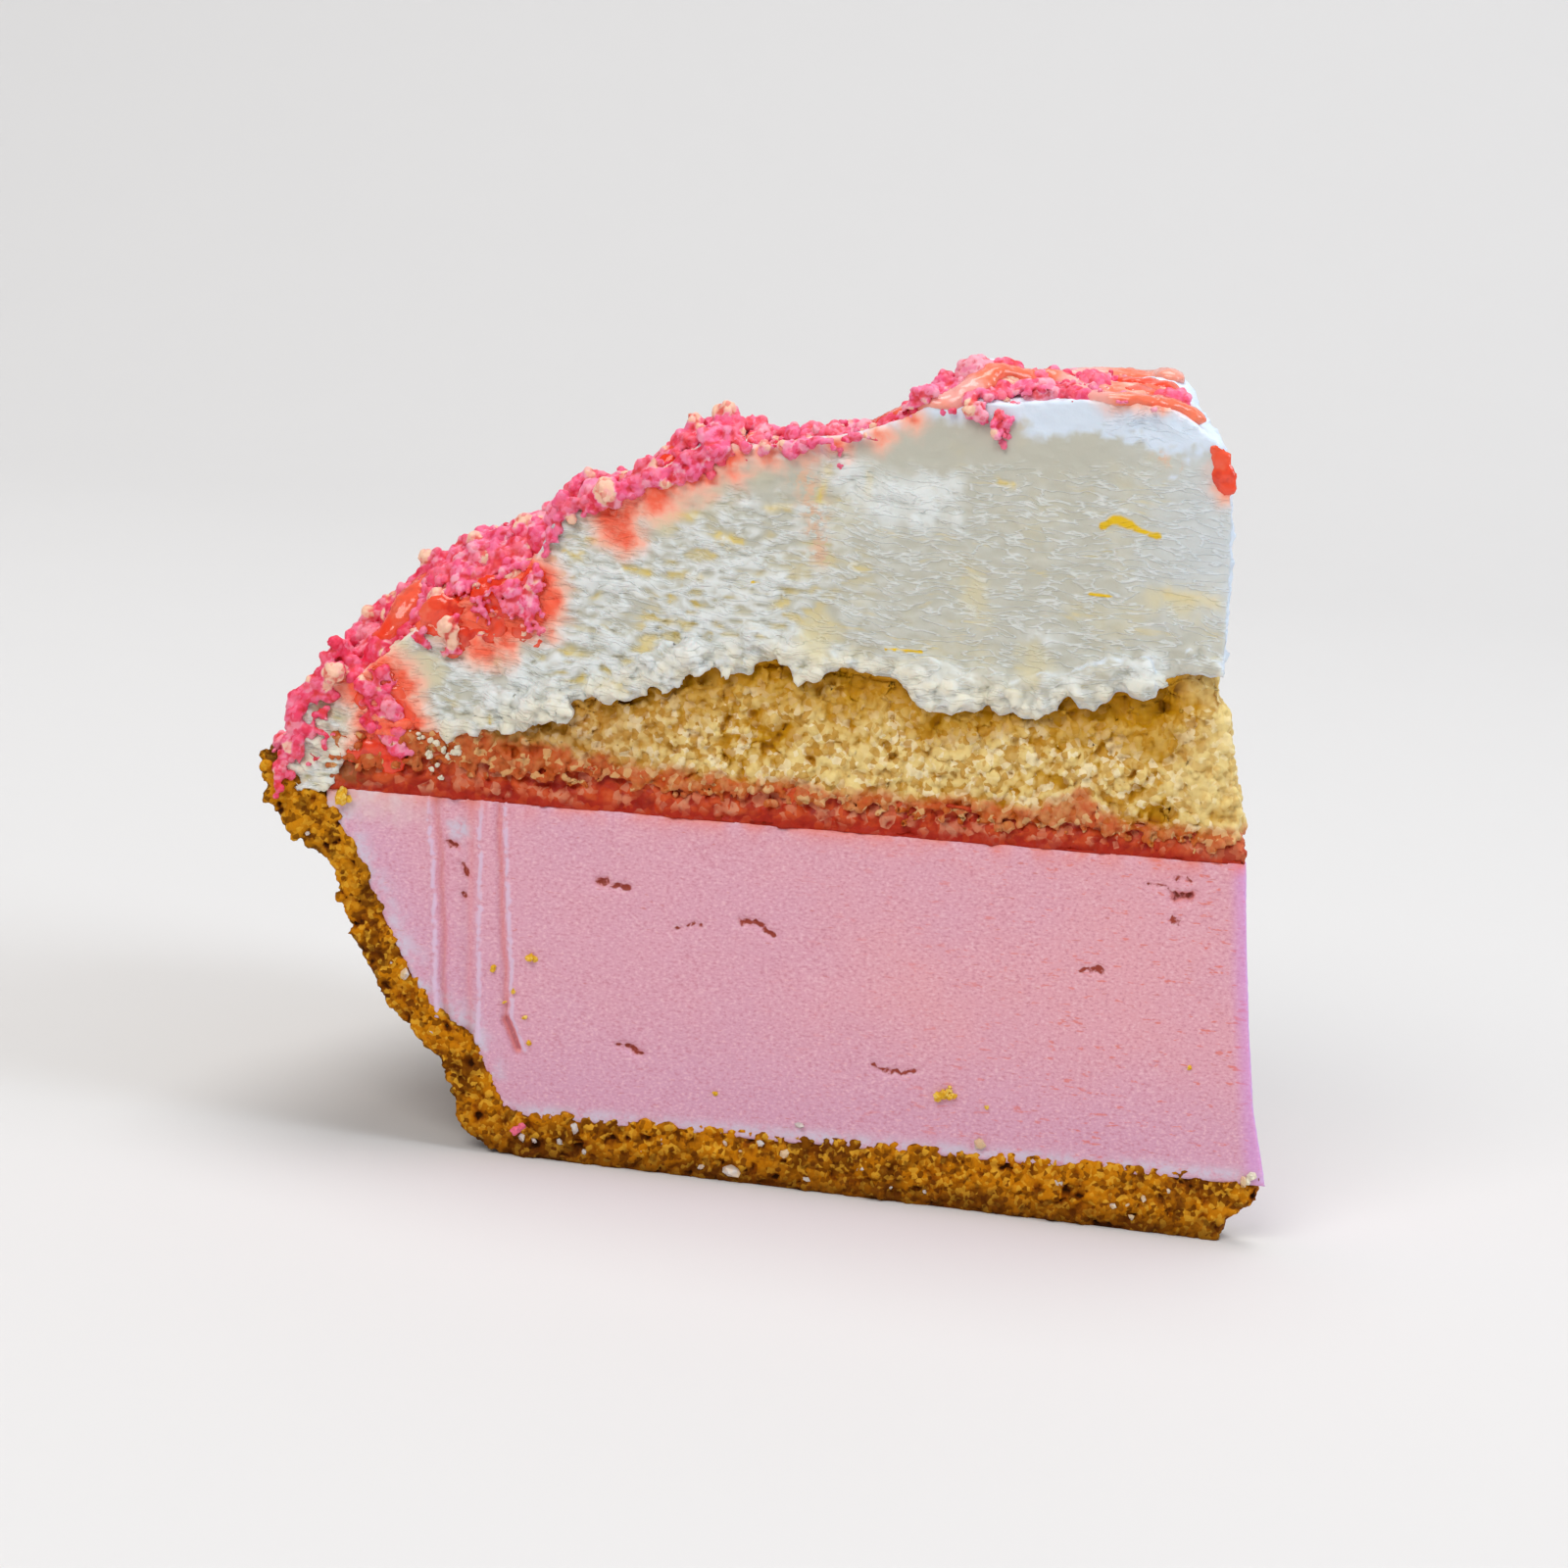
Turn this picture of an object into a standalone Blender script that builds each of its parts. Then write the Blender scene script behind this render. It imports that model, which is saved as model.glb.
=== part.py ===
"""One slice of a layered ice cream pie: crumb crust, strawberry ice cream, jam, sponge and a vanilla dome.

The whole pie was set in a round sloping tin and cut in eight. The slice stands on its crust, with its point
at +X, its rim at -X and one cut face towards -Y. Every layer is a block of the pie between a floor and a
roof, swept about the pie's middle from one cut face to the other. Sizes here are in millimetres and become
metres as the vertices are made.
"""

import math
import random

import bmesh
import bpy
import numpy as np
from mathutils import Euler, Matrix, Vector, noise

MM = 0.001

# The pie and the cut
RIM_RADIUS = 114.3       # a 9 inch pie tin, inside its rim
BASE_RADIUS = 83.0       # the tin's flat bottom
CRUST_HEIGHT = 41.4      # the tin's depth, filled to the rim
SLICES_IN_PIE = 8
SLICE_ANGLE = 2 * math.pi / SLICES_IN_PIE
PIE_MIDDLE_X = 57.6      # where the pie's own axis stands, so that the slice is centred on the origin
PIE_MIDDLE_Y = -40.1
GAP = 0.3                # clearance between neighbouring layers
WALL_GAP = 0.66          # the same clearance, measured upwards, on the crust's steep wall

# Heights of the level layers: height over the pie's middle, and fall for each millimetre outwards
CRUST_FLOOR_TOP = (7.5, 0.028)
ICE_CREAM_TOP = (41.5, 0.025)
JAM_TOP = (44.1, 0.006)
JAM_RADIUS = 105.0
SPONGE_RADIUS = 101.5
ICE_CREAM_RADIUS = 106.2
CREAM_RADIUS = 112.0

# Section curves as (distance from the pie's middle, height)
CRUST_OUTSIDE = ((BASE_RADIUS, 0), (87.0, 1.4), (89.2, 3.8), (90.4, 7.6), (94.2, 12.0), (98.2, 15.8),
                 (101.0, 20.0), (103.2, 24.2), (104.8, 28.8), (109.0, 32.6), (112.6, 36.6),
                 (RIM_RADIUS, CRUST_HEIGHT))
CRUST_WALL_INSIDE = ((84.0, 5.2), (85.8, 8.7), (87.6, 12.3), (91.0, 14.0), (95.5, 19.7), (100.0, 27.3),
                     (104.4, 35.1), (107.0, 38.1), (110.3, 39.2), (RIM_RADIUS, CRUST_HEIGHT + 0.5))
SPONGE_TOP = ((11.0, 62.3), (17.8, 60.3), (24.0, 58.3), (30.0, 56.8), (38.0, 56.3), (47.0, 57.5),
              (57.0, 58.2), (66.0, 56.5), (76.0, 52.9), (89.0, 47.9), (97.0, 46.0), (SPONGE_RADIUS, 45.3))
DOME_TOP = ((15.0, 88.0), (18.0, 90.4), (22.0, 91.4), (28.0, 91.2), (36.0, 90.0), (42.0, 88.8), (46.0, 86.0),
            (52.0, 83.3), (60.0, 81.4), (68.0, 79.0), (76.0, 75.6), (84.0, 71.4), (92.0, 66.4), (99.0, 61.4),
            (105.0, 55.2), (109.4, 48.8), (111.5, 44.6), (CREAM_RADIUS, 41.8))
# The point of the slice is blunt and leans back: (height, distance from the pie's middle)
POINT_LEAN = ((0.0, 4.8), (3.5, 3.6), (5.2, 0.6), (6.6, 0.2), (8.1, 1.3), (15.1, 2.6), (27.1, 4.5),
              (41.1, 6.2), (47.1, 7.6), (58.1, 10.2), (62.1, 11.0), (71.1, 11.2), (79.1, 11.9),
              (84.1, 12.9), (88.4, 15.0))
LEAN_REACH = 40.0        # how far from the point the lean dies out

# The dome's edge sags over the shown cut face: (from station, to station, depth, reach across the slice)
SAGS = ((83.2, 107.0, 5.4, 7.0), (-3.0, 45.0, 2.2, 9.0))
SAG_SHOULDER = 3.0       # how quickly a sag starts and ends along the edge
# Crumbs drift into heaps on the dome: (station, distance from the shown cut face, half width, height)
HEAPS = ((68.0, 3.5, 6.5, 3.0), (92.0, 5.0, 7.0, 1.6), (40.0, 6.0, 6.5, 2.4), (80.0, 4.0, 4.0, 1.2),
         (76.0, 34.0, 8.0, 1.8), (96.0, 52.0, 7.0, 1.8), (54.0, 24.0, 7.0, 1.4))

# Relief, as a height and the size of its forms
CRUST_LUMP, CRUST_LUMP_SIZE = 1.7, 6.5
CRUST_LUMPS_FROM = 0.08                    # share of the angle over which the lumps grow in
CRUST_CALM_FOOT, CRUST_CALM_RIM = 5.0, 3.0
CRUMBLY_CUT, CRUMBLY_SIZE = 0.75, 4.5      # crust and sponge faces
JAM_BULGE, JAM_BULGE_SIZE = 0.35, 9.0
SCRAPED_CUT, SCRAPED_SIZE = 0.4, 8.0       # the vanilla's cut face
TORN_SEAM, TORN_SEAM_SIZE = 0.7, 6.0       # the seam between sponge and vanilla
DOME_WAVE, DOME_WAVE_SIZE = 0.9, 17.0
DOME_CALM_RIM, DOME_CALM_POINT, DOME_CALM_EDGE = 12.0, 8.0, 6.0
CALM_POINT = 14.0                          # relief on the cut faces dies out this near the middle
NEAR_FACE, FAR_FACE, DOME_FIELD = 3.0, 31.0, 50.0   # where each surface reads the noise field

# Grid stations
SWEEP_SHARES = (0, 0.035, 0.085, 0.16, 0.26, 0.36, 0.46, 0.56, 0.66, 0.76, 0.86, 0.94, 1.0)
CRUST_SHARES = tuple(cut / 20 for cut in range(21))
CRUST_WALL_STATIONS = (RIM_RADIUS, 112.4, 110.3, 108.6, 107.0, 106.2, 104.4, 102.4, 100.0, 97.8, 95.5, 93.2,
                       91.0, 89.2, 87.6, 86.6, 85.8, 84.0)
WALL_FOOT = 84.0
CRUST_BASE_STEP, ICE_CREAM_STEP, JAM_STEP, UPPER_STEP = 3.2, 6.0, 4.2, 3.0
SEAM_LIP = 1.0           # width of the step where the vanilla wraps over the ends of jam and sponge

# Toppings
CRUMB_COUNT = 112
CRUMB_SIZES = (2.6, 5.4)
CRUMB_SPACING = 0.82     # least distance between two crumbs, in crumb widths
CRUMB_SINK = 0.18        # how far a crumb's middle lies under the dome, in crumb widths
CRUMB_MARGIN = 0.45      # least distance from a cut face to a crumb's middle, in crumb widths
CRUMB_SQUASH = (0.8, 1.15)
CRUMB_LIMITS = (2.0, 108.0)
CRUMB_TRIES = 400
NEAR_EDGE_SHARE = 0.5    # share of the crumbs heaped along the shown cut edge
NEAR_EDGE_WIDTH = 11.0
CRUMBS_ANYWHERE = 0.15   # how thick crumbs lie where nothing gathers them, from 0 to 1
OUTER_RING = (44.0, 58.0)              # stations over which the outer ring of crumbs thickens
TOP_DRIFT = (30.0, 9.0, 0.8)           # station, half width and thickness of the drift near the top
DRIZZLE_WIDTH, DRIZZLE_HEIGHT = 3.6, 1.9
DRIZZLE_END, DRIZZLE_SWELL, DRIZZLE_SWELL_SIZE = 0.45, 0.25, 9.0
DRIZZLE_SIDES, DRIZZLE_RINGS = 6, 26
# Each drizzle swings over the dome: (outer station, inner station, middle share, swing, swings, start)
DRIZZLES = ((102.0, 4.0, 0.19, 0.15, 3.4, 0.75), (103.0, 12.0, 0.74, 0.19, 3.1, 0.30))
SEED = 7
SHARP_ANGLE = math.radians(40)


def clear_scene():
    """Removes whatever the new scene holds."""
    for thing in list(bpy.data.objects):
        bpy.data.objects.remove(thing, do_unlink=True)


def mix(a, b, share):
    return a + (b - a) * share


def ease(value):
    """0 below 0, 1 above 1 and an S between."""
    value = min(max(value, 0.0), 1.0)
    return value * value * (3 - 2 * value)


def smooth_curve(points):
    """A function that gives a smooth height at any distance, through the given points."""
    places, heights = np.array(sorted(points), dtype=float).T
    slopes = np.gradient(heights, places)

    def height_at(place):
        place = min(max(place, places[0]), places[-1])
        index = min(int(np.searchsorted(places, place, side="right")) - 1, len(places) - 2)
        step = places[index + 1] - places[index]
        share = (place - places[index]) / step
        bend_in = slopes[index] * step * share * (1 - share) ** 2
        bend_out = -slopes[index + 1] * step * share ** 2 * (1 - share)
        return float(mix(heights[index], heights[index + 1], ease(share)) + bend_in + bend_out)

    return height_at


def point_radius(height, share):
    """How far the slice's blunt point is from the pie's middle at a height."""
    heights, radii = zip(*POINT_LEAN)
    return float(np.interp(height, heights, radii)) / math.cos(SLICE_ANGLE * share)


def leaned(station, height, share):
    """The true radius of a station: stations run from 0 on the leaning point to the rim's radius."""
    return station + point_radius(height, share) * max(0.0, 1 - station / LEAN_REACH)


def by_station(points):
    """Points given by radius, given by station instead."""
    turned = []
    for radius, height in points:
        back = point_radius(height, 0)
        inner = (radius - back) / (1 - back / LEAN_REACH)
        turned.append((inner if radius < LEAN_REACH else radius, height))
    return turned


def roughness_at(place, amount, size):
    """Seeded relief: the same wherever it is asked for the same place."""
    return amount * noise.noise(place / size)


def level(layer_top):
    """A flat layer top, which falls evenly towards the rim."""
    height, fall = layer_top
    return lambda station, share, x: height + fall * x


crust_outside = smooth_curve(CRUST_OUTSIDE)
crust_wall_inside = smooth_curve(CRUST_WALL_INSIDE)
sponge_hump = smooth_curve(by_station(SPONGE_TOP))
dome_curve = smooth_curve(by_station(DOME_TOP))


def crust_floor(station, share, x):
    return max(0.0, crust_outside(station))


def crust_roof(station, share, x):
    foot = level(CRUST_FLOOR_TOP)(station, share, x)
    return foot if station <= WALL_FOOT else max(foot, crust_wall_inside(station))


def ice_cream_floor(station, share, x):
    clearance = GAP if station < WALL_FOOT else WALL_GAP
    return crust_roof(station, share, x) + clearance


def seam_height(station, share):
    """The torn seam between sponge and vanilla."""
    angle = SLICE_ANGLE * share
    place = Vector((station * math.cos(angle), station * math.sin(angle), 0))
    return sponge_hump(station) + roughness_at(place, TORN_SEAM, TORN_SEAM_SIZE)


def cream_floor(station, share, x):
    """Over the sponge, then down over the ends of sponge and jam to the crust's rim."""
    over_cake = seam_height(min(station, SPONGE_RADIUS), share) + GAP
    over_jam = level(JAM_TOP)(station, share, x) + 2 * GAP
    on_rim = max(crust_wall_inside(station) + WALL_GAP, level(ICE_CREAM_TOP)(station, share, x) + 2 * GAP)
    past_sponge = ease((station - SPONGE_RADIUS - GAP) / SEAM_LIP)
    past_jam = ease((station - JAM_RADIUS - GAP) / SEAM_LIP)
    return mix(mix(over_cake, over_jam, past_sponge), on_rim, past_jam)


def cream_roof(station, share, x):
    """The dome, with its slow waves, its heaps of crumbs and the sags along the shown edge."""
    angle = SLICE_ANGLE * share
    across = station * math.sin(angle)
    place = Vector((station * math.cos(angle), across, DOME_FIELD))
    calm = ease((CREAM_RADIUS - station) / DOME_CALM_RIM) * ease(station / DOME_CALM_POINT)
    calm *= ease(across / DOME_CALM_EDGE)
    height = dome_curve(station) + roughness_at(place, DOME_WAVE, DOME_WAVE_SIZE) * calm
    for start, end, depth, reach in SAGS:
        along = ease((station - start) / SAG_SHOULDER) * ease((end - station) / SAG_SHOULDER)
        height -= depth * along * (1 - ease(across / reach))
    for middle, aside, half_width, rise in HEAPS:
        away = math.hypot(station - middle, across - aside) / half_width
        height += rise * (1 - ease(away))
    return height


def knife_relief(amount, size):
    """How far a cut face stands out at a place; the two faces differ."""

    def shift(station, height, share):
        near = noise.noise(Vector((station / size, height / size, NEAR_FACE)))
        far = noise.noise(Vector((station / size, height / size, FAR_FACE)))
        return amount * ease(station / CALM_POINT) * mix(near, far, share)

    return shift


def crust_swell(station, rise, share):
    """Lumps on the outside of the crust's wall."""
    angle = SLICE_ANGLE * share
    place = Vector((station * math.cos(angle), station * math.sin(angle), crust_outside(station)))
    on_wall = ease((station - WALL_FOOT) / CRUST_CALM_FOOT) * ease((RIM_RADIUS - station) / CRUST_CALM_RIM)
    grown = ease(share / CRUST_LUMPS_FROM)
    return roughness_at(place, CRUST_LUMP, CRUST_LUMP_SIZE) * on_wall * grown * (1 - rise)


def no_swell(station, rise, share):
    return 0.0


def pie_point(station, height, share, shift, swell):
    """A place in the pie, seen from the origin of the slice."""
    angle = SLICE_ANGLE * share
    radius = leaned(station, height, share) + swell
    x = -radius * math.cos(angle) + shift * math.sin(angle)
    y = radius * math.sin(angle) + shift * math.cos(angle)
    return Vector((x, y, height))


def surface_quads(columns, rows, slices):
    """The quads of a block's six sides, as corners (column, row, slice)."""
    sizes = (columns, rows, slices)
    for axis in range(3):
        first, second = [a for a in range(3) if a != axis]
        for end in (0, sizes[axis]):
            for a in range(sizes[first]):
                for b in range(sizes[second]):
                    quad = []
                    for step_a, step_b in ((0, 0), (1, 0), (1, 1), (0, 1)):
                        corner = [0, 0, 0]
                        corner[axis] = end
                        corner[first] = a + step_a
                        corner[second] = b + step_b
                        quad.append(tuple(corner))
                    yield quad


def mesh_from(bm, name):
    bmesh.ops.recalc_face_normals(bm, faces=bm.faces)
    mesh = bpy.data.meshes.new(name)
    bm.to_mesh(mesh)
    bm.free()
    mesh.shade_smooth()
    mesh.set_sharp_from_angle(angle=SHARP_ANGLE)
    return mesh


def add_object(name, mesh, material):
    thing = bpy.data.objects.new(name, mesh)
    mesh.materials.append(material)
    bpy.context.scene.collection.objects.link(thing)
    return thing


def build_layer(name, stations, rows, floor, roof, material, shift, swell=no_swell, shares=SWEEP_SHARES):
    """A closed block of the pie between a floor and a roof, from one cut face to the other."""
    bm = bmesh.new()
    made = {}

    def corner(column, row, cut):
        if (column, row, cut) not in made:
            station = stations[column]
            rise = row / rows
            share = shares[cut]
            x = -station * math.cos(SLICE_ANGLE * share)
            for _ in range(2):
                height = mix(floor(station, share, x), roof(station, share, x), rise)
                moved = shift(station, height, share)
                place = pie_point(station, height, share, moved, swell(station, rise, share))
                x = place.x
            place.z = mix(floor(station, share, x), roof(station, share, x), rise)
            place += Vector((PIE_MIDDLE_X, PIE_MIDDLE_Y, 0))
            made[column, row, cut] = bm.verts.new(place * MM)
        return made[column, row, cut]

    for quad in surface_quads(len(stations) - 1, rows, len(shares) - 1):
        bm.faces.new([corner(*place) for place in quad])
    return add_object(name, mesh_from(bm, name), material)


def stations_between(outer, inner, step):
    """Even stations from one distance in to another."""
    count = max(1, round((outer - inner) / step))
    return [mix(outer, inner, i / count) for i in range(count + 1)]


def wall_stations(outer):
    return [station for station in CRUST_WALL_STATIONS if station <= outer]


def principled(name, colour, roughness, subsurface=0.0):
    """A Principled material with one colour."""
    material = bpy.data.materials.new(name)
    material.use_nodes = True
    shader = material.node_tree.nodes["Principled BSDF"]
    shader.inputs["Base Color"].default_value = (*colour, 1.0)
    shader.inputs["Roughness"].default_value = roughness
    shader.inputs["Metallic"].default_value = 0.0
    shader.inputs["Subsurface Weight"].default_value = subsurface
    material.diffuse_color = (*colour, 1.0)
    return material


def build_crust():
    stations = wall_stations(RIM_RADIUS) + stations_between(WALL_FOOT, 0, CRUST_BASE_STEP)[1:]
    return build_layer("crust", stations, 3, crust_floor, crust_roof,
                       principled("crumb_crust", (0.30, 0.13, 0.035), 0.85),
                       knife_relief(CRUMBLY_CUT, CRUMBLY_SIZE), crust_swell, CRUST_SHARES)


def build_strawberry_ice_cream():
    stations = wall_stations(ICE_CREAM_RADIUS) + stations_between(WALL_FOOT, 0, ICE_CREAM_STEP)[1:]
    top = level((ICE_CREAM_TOP[0] - GAP / 2, ICE_CREAM_TOP[1]))
    return build_layer("strawberry_ice_cream", stations, 6, ice_cream_floor, top,
                       principled("strawberry_ice_cream", (0.72, 0.36, 0.42), 0.55, 0.1),
                       knife_relief(0.0, 1.0), no_swell, CRUST_SHARES)


def build_strawberry_jam():
    bottom = level((ICE_CREAM_TOP[0] + GAP / 2, ICE_CREAM_TOP[1]))
    top = level((JAM_TOP[0] - GAP / 2, JAM_TOP[1]))
    return build_layer("strawberry_jam", stations_between(JAM_RADIUS, 0, JAM_STEP), 1, bottom, top,
                       principled("strawberry_jam", (0.40, 0.045, 0.015), 0.25),
                       knife_relief(JAM_BULGE, JAM_BULGE_SIZE))


def build_sponge_cake():
    bottom = level((JAM_TOP[0] + GAP / 2, JAM_TOP[1]))
    return build_layer("sponge_cake", stations_between(SPONGE_RADIUS, 0, UPPER_STEP), 4, bottom,
                       lambda station, share, x: seam_height(station, share),
                       principled("sponge_cake", (0.58, 0.36, 0.10), 0.9),
                       knife_relief(CRUMBLY_CUT, CRUMBLY_SIZE))


def cream_stations():
    """The sponge's own stations, and closer ones over the ends of sponge and jam."""
    lip = [CREAM_RADIUS, 111.0, 108.8, JAM_RADIUS + GAP + SEAM_LIP, JAM_RADIUS + GAP,
           SPONGE_RADIUS + GAP + SEAM_LIP, SPONGE_RADIUS + GAP]
    return lip + stations_between(SPONGE_RADIUS, 0, UPPER_STEP)


def dome_point(station, share):
    """A place on the dome in millimetres."""
    height = cream_roof(station, share, 0.0)
    place = pie_point(station, height, share, 0.0, 0.0)
    return place + Vector((PIE_MIDDLE_X, PIE_MIDDLE_Y, 0))


def crumb_places(draw):
    """Places and widths of the crumbs, largest first, none closer than its neighbours allow."""
    widths = sorted((draw.uniform(*CRUMB_SIZES) for _ in range(CRUMB_COUNT)), reverse=True)
    placed = []
    for width in widths:
        near_edge = draw.random() < NEAR_EDGE_SHARE
        for _ in range(CRUMB_TRIES):
            station = RIM_RADIUS * math.sqrt(draw.random())
            if not CRUMB_LIMITS[0] < station < CRUMB_LIMITS[1]:
                continue
            arc = max(station * SLICE_ANGLE, 1.0)
            reach = min(NEAR_EDGE_WIDTH, arc) if near_edge else arc
            margin = min(width * CRUMB_MARGIN, arc / 2)
            share = draw.uniform(margin, max(margin, reach - margin)) / arc
            if draw.random() > crumb_density(station):
                continue
            place = dome_point(station, share)
            if all((place - other).length > CRUMB_SPACING * (width + size) / 2 for other, size in placed):
                placed.append((place, width))
                break
    return placed


def crumb_density(station):
    """Crumbs lie thick towards the rim, with a second drift near the top."""
    start, full = OUTER_RING
    middle, half_width, thickness = TOP_DRIFT
    outer = ease((station - start) / (full - start))
    drift = thickness * math.exp(-((station - middle) / half_width) ** 2)
    return mix(CRUMBS_ANYWHERE, 1.0, max(outer, drift))


def build_crumb(place, width, draw, material):
    """One rough crumb, as a squashed and turned icosahedron."""
    bm = bmesh.new()
    turn = Euler([draw.uniform(0, math.tau) for _ in range(3)]).to_matrix().to_4x4()
    squash = Matrix.Diagonal([draw.uniform(*CRUMB_SQUASH) for _ in range(3)]).to_4x4()
    middle = place - Vector((0, 0, CRUMB_SINK * width))
    where = Matrix.Translation(middle * MM) @ turn @ squash
    bmesh.ops.create_icosphere(bm, subdivisions=1, radius=width / 2 * MM, matrix=where)
    return add_object("crumb", mesh_from(bm, "crumb"), material)


def drizzle_path(outer, inner, middle, swing, swings, start):
    """Places along a drizzle that swings from side to side as it runs up the dome."""
    places = []
    for ring in range(DRIZZLE_RINGS):
        run = ring / (DRIZZLE_RINGS - 1)
        share = middle + swing * math.sin(math.tau * (start + swings * run))
        places.append(dome_point(mix(outer, inner, run), share))
    return places


def build_drizzle(path, material):
    """A flattened bead of glaze that follows the dome, closed at both ends."""
    bm = bmesh.new()
    rings = []
    for index, place in enumerate(path):
        ahead = path[min(index + 1, len(path) - 1)]
        behind = path[max(index - 1, 0)]
        along = (ahead - behind).normalized()
        across = along.cross(Vector((0, 0, 1))).normalized()
        up = across.cross(along)
        at_end = index in (0, len(path) - 1)
        swell = DRIZZLE_SWELL * noise.noise(place / DRIZZLE_SWELL_SIZE)
        size = DRIZZLE_END if at_end else 1 + swell
        ring = []
        for side in range(DRIZZLE_SIDES):
            angle = math.tau * (side + 0.5) / DRIZZLE_SIDES
            offset = across * math.cos(angle) * DRIZZLE_WIDTH + up * math.sin(angle) * DRIZZLE_HEIGHT
            ring.append(bm.verts.new((place + offset * size / 2) * MM))
        rings.append(ring)
    for ring, following in zip(rings, rings[1:]):
        for side in range(DRIZZLE_SIDES):
            after = (side + 1) % DRIZZLE_SIDES
            bm.faces.new((ring[side], ring[after], following[after], following[side]))
    bm.faces.new(rings[0])
    bm.faces.new(rings[-1])
    return add_object("drizzle", mesh_from(bm, "drizzle"), material)


def keep_largest_shell(mesh):
    """Drops loose scraps, and the inner walls of hollows that the union sealed."""
    bm = bmesh.new()
    bm.from_mesh(mesh)
    unseen = set(bm.faces)
    shells = []
    while unseen:
        shell = set()
        edge_of_shell = [unseen.pop()]
        while edge_of_shell:
            face = edge_of_shell.pop()
            shell.add(face)
            for edge in face.edges:
                for other in edge.link_faces:
                    if len(edge.link_faces) == 2 and other in unseen:
                        unseen.remove(other)
                        edge_of_shell.append(other)
        shells.append(shell)
    largest = max(shells, key=len)
    bmesh.ops.delete(bm, geom=[face for face in bm.faces if face not in largest], context="FACES")
    bm.to_mesh(mesh)
    bm.free()


def fuse_toppings(base, toppings):
    """Joins the toppings to the layer they lie on, with one union."""
    heap = bpy.data.collections.new("toppings")
    for topping in toppings:
        bpy.context.scene.collection.objects.unlink(topping)
        heap.objects.link(topping)
    bpy.context.scene.collection.children.link(heap)
    union = base.modifiers.new("toppings", "BOOLEAN")
    union.operation = "UNION"
    union.solver = "EXACT"
    union.operand_type = "COLLECTION"
    union.collection = heap
    bpy.context.view_layer.update()
    evaluated = base.evaluated_get(bpy.context.evaluated_depsgraph_get())
    fused = bpy.data.meshes.new_from_object(evaluated)
    base.modifiers.clear()
    base.data = fused
    for topping in toppings:
        bpy.data.objects.remove(topping, do_unlink=True)
    bpy.data.collections.remove(heap)
    keep_largest_shell(fused)


def build_vanilla_cream():
    """The vanilla dome, with pink crumbs and strawberry drizzle on it."""
    draw = random.Random(SEED)
    cream = build_layer("vanilla_cream", cream_stations(), 7, cream_floor, cream_roof,
                        principled("vanilla_cream", (0.56, 0.54, 0.45), 0.55, 0.1),
                        knife_relief(SCRAPED_CUT, SCRAPED_SIZE))
    pink = principled("pink_crumbs", (0.78, 0.10, 0.17), 0.75)
    glaze = principled("strawberry_glaze", (0.78, 0.05, 0.06), 0.2)
    toppings = [build_drizzle(drizzle_path(*drizzle), glaze) for drizzle in DRIZZLES]
    toppings += [build_crumb(place, width, draw, pink) for place, width in crumb_places(draw)]
    fuse_toppings(cream, toppings)
    return cream


def main():
    clear_scene()
    build_crust()
    build_strawberry_ice_cream()
    build_strawberry_jam()
    build_sponge_cake()
    build_vanilla_cream()


main()
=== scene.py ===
import functools
import math
import random

import bmesh
import bpy
import numpy as np
from mathutils import Euler, Matrix, Vector, kdtree, noise


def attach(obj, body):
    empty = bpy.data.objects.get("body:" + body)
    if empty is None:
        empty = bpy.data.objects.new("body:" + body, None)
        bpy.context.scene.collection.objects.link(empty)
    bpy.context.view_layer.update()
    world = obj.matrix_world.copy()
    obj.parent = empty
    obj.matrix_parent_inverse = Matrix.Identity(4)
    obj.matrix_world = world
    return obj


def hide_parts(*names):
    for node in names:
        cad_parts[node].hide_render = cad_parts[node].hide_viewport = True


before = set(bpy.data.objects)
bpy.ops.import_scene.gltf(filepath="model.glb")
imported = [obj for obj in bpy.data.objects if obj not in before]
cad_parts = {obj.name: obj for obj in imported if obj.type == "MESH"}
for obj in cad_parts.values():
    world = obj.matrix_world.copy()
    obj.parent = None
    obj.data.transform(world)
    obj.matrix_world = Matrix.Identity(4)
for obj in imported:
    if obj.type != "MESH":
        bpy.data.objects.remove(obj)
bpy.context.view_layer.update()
print("frame: the slice is loaded")

mm = 0.001                      # every size below is in millimetres, heights from the table
scene = bpy.context.scene

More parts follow.
